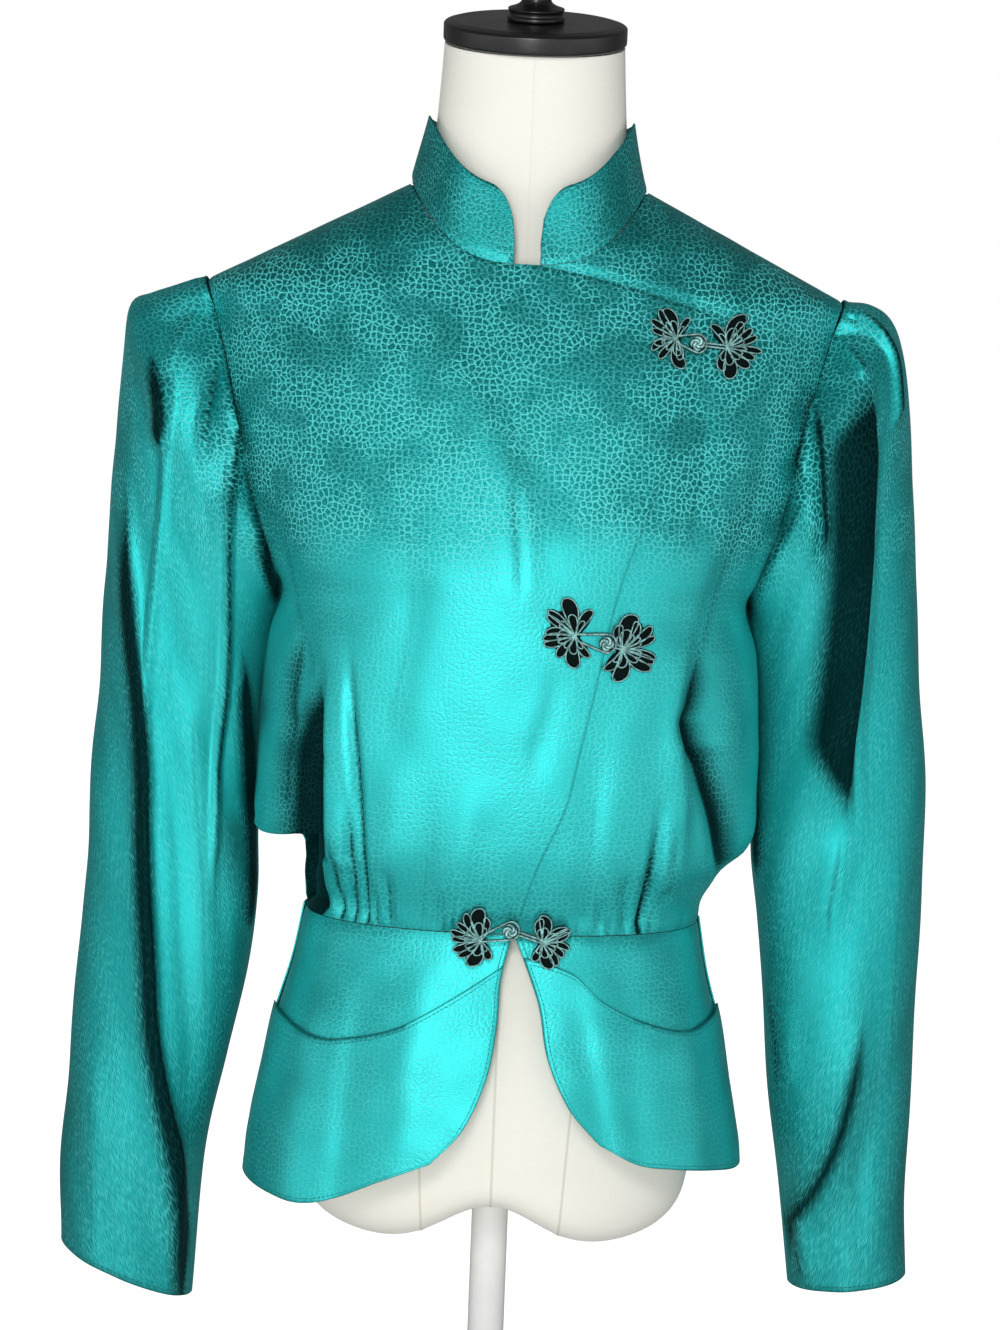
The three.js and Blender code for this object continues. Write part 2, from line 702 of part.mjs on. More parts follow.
// Half of a frog: a thin plate with petals, laid on the panel
function frogPlate(centreX, centreZ, halfWidth, halfHeight) {
  const count = PETALS * 4;
  const place = (share, k, lift) => {
    const turn = (k / count) * 2 * Math.PI;
    const petal = 0.86 + 0.14 * Math.cos(PETALS * turn);
    const x = centreX + halfWidth * share * petal * Math.cos(turn);
    const z = centreZ + halfHeight * share * petal * Math.sin(turn);
    return new THREE.Vector3(x, bridgedFront(x, z) - FROG_LIFT - lift, z);
  };
  const points = [];
  const triangles = [];
  for (const lift of [FROG_THICKNESS, 0]) {
    points.push(place(0, 0, lift));
    for (const share of [0.55, 1]) {
      for (let k = 0; k < count; k += 1) points.push(place(share, k, lift));
    }
  }
  const sheet = 1 + 2 * count;
  for (let k = 0; k < count; k += 1) {
    const next = (k + 1) % count;
    const [a, b, c, d] = [1 + k, 1 + next, 1 + count + next, 1 + count + k];
    triangles.push([0, b, a], [a, b, c], [a, c, d]);
    triangles.push([sheet, sheet + a, sheet + b]);
    triangles.push([sheet + a, sheet + c, sheet + b], [sheet + a, sheet + d, sheet + c]);
    triangles.push([d, c, sheet + c], [d, sheet + c, sheet + d]);
  }
  return solidFromTriangles(points, triangles);
}

// ---------- Dress form ----------

function formRing(section) {
  const count = 30;
  const middle = (section.front + section.back) / 2;
  const deep = (section.back - section.front) / 2;
  const bend = (value) => Math.sign(value) * Math.abs(value) ** (2 / FORM_EXPONENT);
  return Array.from({ length: count }, (_, k) => {
    const turn = (k / count) * 2 * Math.PI;
    const x = section.half * bend(Math.sin(turn));
    const y = middle - deep * bend(Math.cos(turn));
    return new THREE.Vector3(x, y, section.z + section.tip * (y - middle));
  });
}

// The form's underside: rings that shrink towards the middle and sink into two lobes
function lobeHeight(x, share) {
  const notch = 1 - FORM_NOTCH * Math.exp(-((x / FORM_NOTCH_WIDTH) ** 2));
  return FORM[0].z - FORM_LOBE_DEPTH * notch * Math.cbrt(1 - share ** 4);
}

function formBody() {
  const base = formRing(FORM[0]);
  const middle = (FORM[0].front + FORM[0].back) / 2;
  const shrink = (share) =>
    base.map(({ x, y }) => {
      const innerX = x * share;
      return new THREE.Vector3(innerX, middle + (y - middle) * share, lobeHeight(innerX, share));
    });
  const rings = [...[0.12, 0.3, 0.5, 0.68, 0.83, 0.93, 0.985].map(shrink), ...FORM.map(formRing)];
  const count = base.length;
  const points = [...rings.flat()];
  const triangles = [];
  for (let i = 0; i < rings.length - 1; i += 1) {
    for (let k = 0; k < count; k += 1) {
      const a = i * count + k;
      const b = i * count + ((k + 1) % count);
      triangles.push([a, b, b + count], [a, b + count, a + count]);
    }
  }
  const bottom = points.length;
  points.push(new THREE.Vector3(0, middle, lobeHeight(0, 0)));
  const top = points.length;
  const upper = rings.length - 1;
  const centre = rings[upper].reduce((sum, p) => sum.add(p), new THREE.Vector3()).divideScalar(count);
  points.push(centre);
  for (let k = 0; k < count; k += 1) {
    const next = (k + 1) % count;
    triangles.push([bottom, next, k]);
    triangles.push([top, upper * count + k, upper * count + next]);
  }
  return solidFromTriangles(points, triangles);
}

// A turned piece, its profile given as radius and height, closed on the axis
function turned(profile, sides = 32) {
  const outline = [[0, profile[0][1]], ...profile, [0, profile[profile.length - 1][1]]];
  const lathe = new THREE.LatheGeometry(outline.map(([r, h]) => new THREE.Vector2(r, h)), sides);
  return lathe.rotateX(Math.PI / 2);
}

function neckCap() {
  const { radius, height } = NECK_CAP;
  return turned([[radius - 1.5, 0], [radius, 1.5], [radius, height - 1.5], [radius - 1.5, height]]);
}

function finial() {
  return turned(FINIAL.map(({ radius, height }) => [radius, height]), 20);
}

// ---------- The whole ----------

const group = new THREE.Group();

function add(name, geometry, material, parent = group) {
  const mesh = new THREE.Mesh(geometry, material);
  mesh.name = name;
  parent.add(mesh);
  return mesh;
}

add("front_right", bodiceWall(overFront()), SATIN());
add("front_left", bodiceWall(underFront()), SATIN());
add("back", bodiceWall(backPanel()), SATIN());
add("collar", clothWall(collar(), 1), SATIN());
for (const [name, shape] of Object.entries(SLEEVES)) {
  add(`sleeve_${name}`, clothWall(sleeve(shape), -shape.side, true), SATIN());
}
for (const [name, front] of Object.entries(PEPLUM_FRONTS)) {
  const sideHem = PEPLUM_SIDE_HEM[name];
  add(`peplum_${name}`, clothWall(peplumFront(front, sideHem), front.side), SATIN());
  add(`pocket_${name}`, clothWall(pocketPanel(front, sideHem), front.side), SATIN());
}
add("peplum_back", clothWall(peplumBack(), 1), SATIN());

FROGS.forEach((frog, i) => {
  const name = `frog_${i + 1}`;
  add(`${name}_loop_side`, frogPlate(frog.loopX, frog.loopZ, frog.loopW, frog.loopH), CORD());
  add(`${name}_knot_side`, frogPlate(frog.sideX, frog.sideZ, frog.sideW, frog.sideH), CORD());
  const seatY = seatDepth(frog.knotX, frog.knotZ, LOOP_RADIUS * 0.9);
  const knot = add(`${name}_knot`, new THREE.SphereGeometry(KNOT_RADIUS, 9, 6), CORD());
  knot.position.set(frog.knotX, seatY - KNOT_RADIUS, frog.knotZ);
  const loop = add(`${name}_loop`, new THREE.TorusGeometry(LOOP_RADIUS, LOOP_CORD, 4, 12), CORD());
  loop.rotation.x = Math.PI / 2;
  loop.position.set(frog.knotX, seatY - LOOP_CORD, frog.knotZ);
});

add("form_body", formBody(), LINEN());
const neck = new THREE.Group();
neck.position.set(0, NECK_CAP.y, NECK_CAP.z);
neck.rotation.x = (NECK_CAP.tilt * Math.PI) / 180;
group.add(neck);
add("neck_cap", neckCap(), BLACK_WOOD(), neck);
add("finial", finial(), BLACK_WOOD(), neck).position.z = NECK_CAP.height + SEAM_GAP;

const poleTop = lobeHeight(POLE_RADIUS, POLE_RADIUS / FORM[0].half) - POLE_CLEARANCE;
const poleOutline = [[POLE_RADIUS, BASE_HEIGHT + SEAM_GAP], [POLE_RADIUS, poleTop]];
add("pole", turned(poleOutline, 20), PALE_PAINT());
const footOutline = [
  [BASE_RADIUS, 0],
  [BASE_RADIUS, 6],
  [BASE_RADIUS - 8, BASE_HEIGHT],
  [POLE_RADIUS, BASE_HEIGHT],
];
add("base", turned(footOutline, 40), PALE_PAINT());

export default group;
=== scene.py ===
"""The looks of a wrapped-front satin blouse, worn on a limbless dress form.

The shapes are worked out in millimetres in the part's own frame: +Z up, the front faces -Y and +X is
the wearer's left. Every mesh is turned into metres when it is made.
"""

import math

import bpy
import numpy as np
from bpy.props import FloatProperty, FloatVectorProperty, PointerProperty
from mathutils import Matrix, Vector


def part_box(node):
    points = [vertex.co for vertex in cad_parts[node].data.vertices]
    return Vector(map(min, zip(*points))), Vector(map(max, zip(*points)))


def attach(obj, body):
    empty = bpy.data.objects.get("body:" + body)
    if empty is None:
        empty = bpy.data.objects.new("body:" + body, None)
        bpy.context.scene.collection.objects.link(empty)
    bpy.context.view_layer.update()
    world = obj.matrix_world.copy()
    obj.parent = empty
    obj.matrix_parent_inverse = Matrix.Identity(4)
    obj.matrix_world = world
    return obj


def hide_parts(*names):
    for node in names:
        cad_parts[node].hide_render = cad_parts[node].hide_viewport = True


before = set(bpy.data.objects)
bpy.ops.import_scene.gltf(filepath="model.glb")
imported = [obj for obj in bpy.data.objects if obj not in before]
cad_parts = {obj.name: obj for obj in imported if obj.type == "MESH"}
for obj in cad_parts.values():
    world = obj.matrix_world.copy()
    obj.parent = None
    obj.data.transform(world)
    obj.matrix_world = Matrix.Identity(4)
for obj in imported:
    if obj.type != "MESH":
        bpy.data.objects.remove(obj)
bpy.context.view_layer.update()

bl_info = {
    "name": "Peplum blouse",
    "version": (1, 0, 0),
    "blender": (4, 5, 0),
    "location": "View3D > Sidebar > Blouse",
    "description": "Makes a wrapped-front peplum blouse on its dress form",
    "category": "Add Mesh",
}

MM = 0.001


# ---------- Short tables, one row for each section ----------


def table(columns, rows):
    """Named columns of numbers from a list of rows."""
    data = np.array(rows, float)
    return {name: data[:, i] for i, name in enumerate(columns.split())}


# Level sections of the worn bodice: half width, and how far front, back and side seam lie from x-z
BODICE = table("z half front back seam", [
    [318, 118, -92, 76, -2],
    [332, 120, -98, 81, -2],
    [346, 130, -105, 87, -2],
    [358, 145, -109, 91, -2],
    [372, 151, -112, 94, -1],
    [395, 151, -115, 96, -1],
    [430, 150.2, -117, 98, 0],
    [480, 146.4, -119, 100, 0],
    [508, 139, -120, 101, 0],
    [524, 146, -120, 102, 0],
    [560, 161, -117, 103, 1],
    [600, 172, -108, 102, 2],
    [640, 180, -95, 96, 3],
    [668, 185, -83, 87, 4],
    [690, 189, -73, 76, 4],
    [703, 163, -67, 71, 3],
    [720, 130, -60, 65, 1],
    [735, 100, -47, 60, -2],
    [750, 70, -36, 52, -4],
])

# The cloth pouches over the waist on the wearer's right: below z it is drawn in to this share
POUCH = table("z share", [
    [318, 1], [332, 0.95], [346, 0.58], [355, 0.42], [359.5, 0.4], [362.5, 0.95], [372, 1], [395, 1],
])
POUCH_FROM = -105.0  # where the drawing in begins

# The seam that joins sleeve and body, seen from the front
ARMHOLE = table("z x", [
    [508, 139], [522, 143.5], [555, 155], [592, 163], [636, 173], [674, 184], [690, 189],
])

# Free edge of the over front, from the waist up to its corner
WRAP_EDGE = table("z x", [
    [318, 7], [357, 18], [396, 34], [424, 40], [469, 49],
    [502, 55], [536, 64], [564, 74], [638, 97], [677, 110],
])

# Level sections of the peplum
PEPLUM = table("z half front back", [
    [318, 118, -92, 76],
    [286, 124, -97, 84],
    [254, 133, -103, 92],
    [224, 139, -107, 98],
    [194, 145, -110, 103],
    [155, 150, -113, 107],
])

# For each front of the peplum: its cut-away front edge, its hem and its pocket mouth
PEPLUM_FRONTS = {
    "right": {
        "side": -1,
        "side_hem": 158,
        "edge": table("z x", [[318, 6], [293, 0.5], [264, -1], [235, -6], [205, -19], [186, -36]]),
        "hem": table("x z", [[-152, 158], [-128, 156], [-110, 155], [-93, 160], [-64, 174], [-36, 186]]),
        "mouth": table("x z", [
            [-152, 258], [-130, 257], [-103, 250], [-85, 253], [-56, 262], [-28, 279], [2, 300],
        ]),
    },
    "left": {
        "side": 1,
        "side_hem": 171,
        "edge": table("z x", [[318, 8], [294, 18], [277, 24], [248, 30], [219, 44], [199, 62]]),
        "hem": table("x z", [[62, 199], [85, 187], [105, 183], [130, 178], [152, 171]]),
        "mouth": table("x z", [
            [14, 305], [42, 296], [58, 281], [88, 266], [111, 260], [129, 265], [152, 275],
        ]),
    },
}

# Rings of each sleeve from the shoulder to the wrist: the outermost and the innermost point seen
# from the front, half of the ring's depth from front to back, and how far its middle lies behind x-z
SLEEVE_COLUMNS = "outer_x outer_z inner_x inner_z depth behind fade"
SLEEVES = {
    "right": {
        "side": -1,
        "rings": table(SLEEVE_COLUMNS, [
            [189, 690, 139, 508, 45, 0, 1],
            [206, 685, 139.3, 506, 55, 3, 0.6],
            [222, 680, 140.4, 501, 60, 7, 0.28],
            [235, 672, 143.6, 490, 62, 11, 0.1],
            [238, 638, 146.9, 474, 60, 15, 0],
            [242, 590, 150, 452, 57, 19, 0],
            [245, 530, 151.5, 424, 54, 22, 0],
            [248, 465, 151.5, 392, 50, 24, 0],
            [251, 400, 151, 356, 47, 24, 0],
            [253, 340, 150, 320, 44, 22, 0],
            [256, 275, 154, 275, 42, 18, 0],
            [259, 213, 165, 220, 40, 12, 0],
            [262, 158, 176, 162, 38, 8, 0],
            [260, 106, 181, 75, 36, 4, 0],
        ]),
    },
    "left": {
        "side": 1,
        "rings": table(SLEEVE_COLUMNS, [
            [189, 690, 139, 508, 45, 0, 1],
            [205, 689, 139.3, 507, 55, 3, 0.6],
            [217, 681, 140.3, 502, 60, 7, 0.28],
            [225, 663, 143.5, 491, 62, 11, 0.1],
            [232, 628, 146.9, 474, 60, 15, 0],
            [237, 577, 150, 452, 57, 19, 0],
            [243, 517, 151.5, 424, 54, 22, 0],
            [248, 462, 151.5, 392, 50, 24, 0],
            [253, 400, 151.5, 356, 47, 24, 0],
            [255, 338, 157, 316, 44, 22, 0],
            [254, 275, 162, 272, 42, 18, 0],
            [252, 210, 167, 215, 40, 12, 0],
            [252, 152, 176, 157, 38, 8, 0],
            [254, 104, 184, 96, 36, 4, 0],
        ]),
    },
}

# Level sections of the dress form: half width, front, back, and how much the section tips forward
FORM = table("z half front back tip", [
    [180, 119, -84, 88, 0],
    [215, 122, -90, 91, 0],
    [250, 120, -90, 88, 0],
    [290, 111, -84, 74, 0],
    [318, 105, -80, 66, 0],
    [350, 107, -82, 67, 0],
    [400, 114, -88, 75, 0],
    [450, 122, -98, 83, 0],
    [500, 130, -108, 89, 0],
    [540, 137, -109, 91, 0],
    [580, 147, -100, 92, 0],
    [620, 156, -87, 88, 0],
    [655, 160, -71, 78, 0],
    [680, 156, -60, 68, 0],
    [700, 141, -54, 61, 0],
    [718, 105.5, -49, 54, 0],
    [734, 70.5, -46, 45.5, 0],
    [750, 59, -47, 40, 0.03],
    [780, 56.5, -50, 39, 0.12],
    [808, 54.5, -53, 37, 0.2],
    [833, 53, -57, 34, 0.25],
])

# Frogs: centre of each half, its half width and height, and the ball knot's place
FROGS = table("loop_x loop_z loop_w loop_h knot_x knot_z side_x side_z side_w side_h", [
    [83, 664, 11.6, 19.5, 99.2, 661.5, 122, 660, 15.4, 19.5],
    [30.4, 494.5, 13.5, 20.3, 53.2, 490.5, 68, 487.3, 16, 19.5],
    [-16.3, 315.5, 13, 17.5, 5, 322, 28.5, 315.2, 13, 16.8],
])


# ---------- Driving sizes, in millimetres ----------

FULLNESS = 2.3  # how square the body's level sections are, 2 being an ellipse
FORM_EXPONENT = 2.1
WAIST = 318
UNDERARM = 508
SHOULDER_TIP = (189, 690)
NECK_SIDE = (70, 750)
NECK_FRONT = 703
NECK_BACK = 746
COLLAR_GAP = 8
COLLAR_SEAM = 0.5
COLLAR_HEIGHT = 44
COLLAR_FALL = 10  # how much lower it stands at the centre back
COLLAR_EDGE = 12
COLLAR_CORNER = 20
COLLAR_LEAN = 10.3
LAP_CORNER = (110, 677)
LAP_SAG = 1.35
LAP_STEP = 2
LAP_HIDDEN = -45
PEPLUM_SEAM = -2  # how far the peplum's side seams lie in front of the x-z plane
POCKET_STANDS = 2.4
FORM_LOBE_DEPTH = 61
FORM_NOTCH = 0.46
FORM_NOTCH_WIDTH = 38
NECK_CAP = {"radius": 54, "height": 13, "tilt": 14, "y": -11.5, "z": 834}
POLE_RADIUS = 11
BASE_RADIUS = 118
BASE_HEIGHT = 14
KNOT_RADIUS = 4.4
BRIDGE = (297, 331)  # heights between which the waist frog spans the seam


# ---------- Folds, placed one by one -------
# Each row: rise (below zero a trough), half width on its left and on its right, how far it takes to
# fade in at its top and out at its foot, its path as x-z points seen from the front, and where it is
# a pleat, how far the cloth on its right is pushed over it (below zero the cloth on its left).

HOLLOW_DEPTH = 6  # a trough this deep gets painted shade, black along its middle
HOLLOW_MOST = 1.5  # the most painted shade that the deepest trough gets
SEAM_WIDTH = 2.0
WAIST_LINE = 0.14  # painted shade along the waist seam
# painted shade along the armhole seams and the peplum's side seams
ARMHOLE_LINE = 0.42
SIDE_LINE = 0.2
LEVEL = 2.0  # how far below zero cloth without folds lies on the scale of painted shade

FRONT_FOLDS = [
    (2.6, 7, 9, 60, 10, [(-103, 470), (-101, 430), (-100, 399), (-99, 369), (-98, 340)]),
    (-9.0, 24, 3, 60, 6, [(-111, 478), (-109, 440), (-107, 400), (-106, 360)], 3),
    (-8.0, 22, 3, 6, 30, [(-111, 364), (-110, 350), (-108, 326)]),
    (-3.6, 20, 9, 34, 30, [(-120, 500), (-128, 460), (-132, 420), (-132, 392)]),
    (-2.6, 13, 10, 14, 16, [(-142, 446), (-128, 430), (-114, 414)]),
    (-6.5, 7, 4, 14, 8, [(-117, 374), (-112, 350), (-107, 326)]),
    (-4.4, 3, 2.6, 30, 5, [(-101, 378), (-97, 344), (-94, 319)]),
    (-4.6, 3.4, 2.6, 60, 5, [(-95, 490), (-90, 453), (-85, 415), (-81, 366), (-78, 319)], 2),
    (-4.2, 2.8, 3.4, 40, 5, [(-90, 404), (-88, 370), (-86, 319)]),
    (2.0, 8, 10, 70, 8, [(-62, 430), (-64, 380), (-69, 319)]),
    (-3.0, 3, 3, 18, 4, [(-71, 346), (-71, 319)]),
    (-3.4, 3, 3, 20, 4, [(-65, 359), (-63, 319)]),
    (-1.6, 7, 5, 60, 6, [(-42, 410), (-44, 365), (-46, 319)]),
    (-2.4, 2.6, 3, 20, 4, [(-37, 348), (-38, 319)]),
    (1.6, 9, 9, 70, 8, [(-16, 430), (-24, 375), (-28, 319)]),
    (-5.6, 2.8, 4, 56, 6, [(88, 408), (87, 377), (84, 350), (82, 333), (80, 318)]),
    (3.6, 9, 6, 60, 12, [(97, 500), (98, 460), (97, 425), (100, 395), (97, 350)]),
    (-3.0, 3, 3, 14, 4, [(69, 358), (72, 319)]),
    (-2.4, 3, 4, 24, 10, [(97, 392), (98, 372), (96, 346)]),
    (-2.6, 3, 3, 14, 4, [(56, 343), (57, 319)]),
    (-1.6, 10, 7, 60, 8, [(52, 440), (50, 390), (48, 330)]),
    (-4.6, 6, 20, 50, 12, [(106, 508), (108, 482), (102, 446), (108, 432)]),
    (-5.4, 5, 20, 16, 22, [(105, 458), (102, 446), (112, 416), (122, 388), (128, 360)]),
    (1.3, 18, 12, 60, 40, [(-62, 680), (-30, 630), (-6, 575), (3, 530)]),
    (-0.9, 4, 3, 24, 24, [(-2, 584), (1, 560), (4, 530)]),
    (-1.8, 9, 10, 28, 26, [(104, 640), (104, 594), (99, 560)]),
    (-0.8, 6, 8, 24, 24, [(23, 482), (24, 456), (16, 428)]),
    (-1.8, 14, 8, 40, 20, [(-136, 560), (-132, 530), (-126, 500), (-116, 470)]),
    (-1.4, 14, 10, 50, 50, [(-62, 560), (-58, 500), (-66, 450)]),
    (-2.0, 7, 16, 50, 40, [(150, 622), (136, 576), (120, 530), (112, 498)]),
]
BACK_FOLDS = [
    (4.0, 10, 8, 70, 10, [(-107, 470), (-100, 400), (-92, 319)]),
    (-4.4, 4, 9, 80, 6, [(-80, 450), (-74, 390), (-66, 319)]),
    (3.0, 9, 9, 80, 8, [(-44, 455), (-40, 390), (-36, 319)]),
    (-2.8, 3, 5, 30, 5, [(-54, 372), (-52, 319)]),
    (-3.6, 9, 4, 60, 6, [(-14, 410), (-12, 360), (-10, 319)]),
    (2.4, 9, 9, 70, 8, [(14, 440), (12, 380), (9, 319)]),
    (3.4, 8, 9, 80, 8, [(38, 440), (36, 380), (32, 319)]),
    (-4.0, 9, 4, 90, 6, [(68, 470), (64, 400), (60, 319)]),
    (-2.6, 3, 4, 24, 5, [(77, 356), (74, 319)]),
    (4.2, 8, 10, 70, 8, [(102, 440), (96, 380), (88, 319)]),
    (-3.0, 12, 9, 60, 50, [(-96, 590), (-88, 540), (-78, 480)]),
    (-2.6, 9, 12, 60, 50, [(92, 584), (84, 530), (80, 470)]),
    (2.0, 16, 16, 60, 60, [(0, 640), (2, 580), (-2, 510)]),
]
SLEEVE_FRONT_FOLDS = {
    "right": [
        (-5.0, 4, 5, 14, 16, [(-184, 682), (-179, 660), (-175, 646), (-172, 632), (-169, 612)]),
        (-6.0, 7, 5, 70, 8, [(-166, 606), (-158, 567), (-152, 543), (-146, 520), (-140, 498)]),
        (-4.6, 2.4, 2.2, 20, 90, [
            (-167, 620), (-168, 595), (-168, 540), (-169, 490), (-171, 442), (-174, 400),
        ]),
        (-6.5, 9, 3, 40, 16, [(-219, 660), (-213, 637), (-208, 622), (-206, 610), (-206, 600)], 2),
        (-2.6, 2.6, 3, 10, 60, [(-206, 604), (-207, 559), (-209, 518), (-211, 470)]),
        (-2.6, 3, 3.4, 20, 20, [(-188, 683), (-197, 663), (-203, 645), (-206, 618)]),
        (-4.6, 2.8, 2.6, 40, 24, [(-178, 660), (-181, 636), (-182, 618), (-183, 600)]),
        (-6.5, 12, 5, 110, 110, [
            (-234, 600), (-229, 557), (-224, 512), (-220, 474), (-216, 439), (-213, 398), (-212, 355),
            (-210, 320), (-207, 283), (-204, 242), (-198, 204), (-191, 164), (-186, 120),
        ], 3),
        (2.2, 6, 12, 120, 90, [(-200, 560), (-198, 470), (-194, 380), (-188, 300), (-182, 240)]),
        (-1.6, 10, 7, 60, 60, [(-188, 470), (-186, 400), (-180, 330), (-176, 260)]),
        (-6.5, 8, 6, 50, 24, [(-162, 486), (-159, 439), (-156, 403), (-154, 379), (-151, 342), (-150, 308)]),
        (-2.6, 8, 10, 50, 40, [(-192, 220), (-189, 172), (-189, 130)]),
        (-1.6, 9, 7, 50, 30, [(-242, 250), (-240, 170), (-238, 116)]),
    ],
    "left": [
        (-4.6, 2.6, 2.8, 14, 16, [(190, 689), (202, 680), (212, 668), (217, 656), (221, 630)], -2),
        (-3.6, 2.6, 2.8, 14, 10, [(184, 671), (192, 662), (198, 651)]),
        (-10.0, 22, 4, 60, 70, [
            (198, 656), (201, 636), (202, 623), (203, 596), (204, 562), (205, 540), (205, 506),
            (204, 468), (203, 436),
        ], 5),
        (2.6, 5, 12, 60, 80, [(214, 640), (218, 590), (220, 520), (219, 440)]),
        (-5.2, 3.8, 3, 30, 40, [(174, 640), (178, 616), (178, 595), (178, 571), (179, 562)], 2),
        (-5.0, 3, 4, 16, 12, [(176, 642), (171, 617), (167, 594)]),
        (-2.6, 9, 9, 40, 20, [(174, 596), (165, 567), (157, 549), (146, 522)]),
        (-6.0, 5, 8, 20, 40, [(142, 526), (140, 499), (142, 463), (145, 427), (149, 391), (152, 356)]),
        (-2.4, 10, 9, 40, 40, [(200, 390), (199, 359), (196, 330)]),
        (-4.6, 15, 11, 70, 40, [(221, 290), (217, 250), (213, 223), (206, 189), (195, 158), (184, 136)], -2),
        (-2.8, 8, 9, 24, 24, [(162, 284), (168, 252), (171, 230)]),
        (-3.0, 8, 8, 20, 14, [(182, 156), (187, 123), (190, 108)]),
        (-1.4, 9, 9, 60, 60, [(234, 400), (236, 330), (236, 250)]),
        (2.0, 8, 8, 50, 40, [(222, 220), (222, 160), (224, 110)]),
    ],
}
SLEEVE_BACK_FOLDS = {
    "right": [
        (-6.0, 6, 3, 26, 40, [(-210, 660), (-206, 620), (-200, 560)]),
        (-5.5, 9, 5, 70, 90, [(-188, 640), (-186, 560), (-188, 470), (-192, 380)]),
        (-6.5, 6, 10, 90, 90, [(-224, 560), (-222, 460), (-214, 360), (-206, 250), (-200, 140)]),
        (3.5, 9, 9, 90, 90, [(-205, 520), (-202, 420), (-196, 320)]),
        (-4.0, 6, 8, 60, 60, [(-174, 470), (-172, 400), (-176, 320)]),
        (-3.5, 7, 6, 60, 40, [(-236, 330), (-232, 240), (-230, 140)]),
    ],
    "left": [
        (-6.0, 3, 6, 26, 40, [(212, 660), (208, 615), (202, 556)]),
        (-6.0, 5, 10, 70, 90, [(184, 630), (186, 540), (190, 450), (196, 360)]),
        (-6.0, 9, 6, 90, 90, [(226, 580), (228, 470), (222, 370), (214, 250), (208, 140)]),
        (3.5, 9, 9, 90, 90, [(207, 540), (210, 440), (206, 340)]),
        (-4.0, 8, 5, 60, 60, [(176, 480), (176, 400), (182, 320)]),
        (-3.5, 6, 7, 60, 40, [(238, 320), (238, 230), (238, 140)]),
    ],
}
PEPLUM_FOLDS = [
    (2.0, 12, 9, 60, 40, [(-104, 318), (-110, 250), (-118, 150)]),
    (-2.2, 8, 12, 50, 50, [(-78, 300), (-84, 240), (-90, 150)]),
    (1.6, 12, 12, 50, 50, [(-44, 300), (-50, 240), (-56, 165)]),
    (-1.8, 9, 9, 40, 60, [(72, 310), (78, 250), (86, 180)]),
    (2.0, 12, 10, 50, 50, [(104, 310), (112, 240), (120, 165)]),
    (-1.6, 9, 7, 40, 40, [(40, 296), (52, 250), (66, 195)]),
]
PEPLUM_BACK_FOLDS = [
    (2.4, 12, 10, 60, 40, [(-92, 318), (-98, 250), (-104, 160)]),
    (-2.6, 9, 12, 50, 50, [(-62, 310), (-66, 240), (-70, 160)]),
    (2.4, 12, 10, 50, 50, [(-30, 310), (-30, 240), (-32, 160)]),
    (-2.6, 9, 12, 50, 50, [(2, 310), (4, 240), (6, 160)]),
    (2.4, 10, 12, 50, 50, [(36, 310), (40, 240), (44, 160)]),
    (-2.4, 12, 9, 50, 50, [(70, 310), (76, 240), (80, 160)]),
    (2.2, 10, 10, 50, 50, [(100, 310), (106, 240), (112, 165)]),
]


# ---------- Reading the tables ----------


def read(rows, key, place, column):
    """A smooth curve through one column of a table, read at places along another column."""
    order = 1 if rows[key][-1] > rows[key][0] else -1
    x = rows[key][::order]
    y = rows[column][::order]
    slope = np.empty_like(y)
    slope[1:-1] = (y[2:] - y[:-2]) / (x[2:] - x[:-2])
    slope[0] = (y[1] - y[0]) / (x[1] - x[0])
    slope[-1] = (y[-1] - y[-2]) / (x[-1] - x[-2])
    at = np.clip(place, x[0], x[-1])
    i = np.clip(np.searchsorted(x, at) - 1, 0, len(x) - 2)
    span = x[i + 1] - x[i]
    t = (at - x[i]) / span
    ends = (2 * t**3 - 3 * t**2 + 1) * y[i] + (3 * t**2 - 2 * t**3) * y[i + 1]
    return ends + span * ((t**3 - 2 * t**2 + t) * slope[i] + (t**3 - t**2) * slope[i + 1])


def mix(a, b, t):
    return a + (b - a) * t


def clamp(value):
    return np.clip(value, 0, 1)


def smooth(value):
    return clamp(value) ** 2 * (3 - 2 * clamp(value))


def roundness(x, half):
    """Share of a section's depth that is left at a distance from its middle."""
    return (1 - np.minimum(np.abs(x) / half, 1) ** FULLNESS) ** (1 / FULLNESS)


def ripple(u, v, wave, seed):
    """A gentle uneven swell between about -1 and 1, with waves about that long."""
    chance = np.random.default_rng(seed)
    total = np.zeros(np.broadcast(u, v).shape)
    waves = 7
    for _ in range(waves):
        turn = chance.uniform(0, math.pi)
        length = wave * chance.uniform(0.7, 1.6)
        phase = chance.uniform(0, 2 * math.pi)
        total += np.sin((u * math.cos(turn) + v * math.sin(turn)) * 2 * math.pi / length + phase)
    return total / math.sqrt(waves)


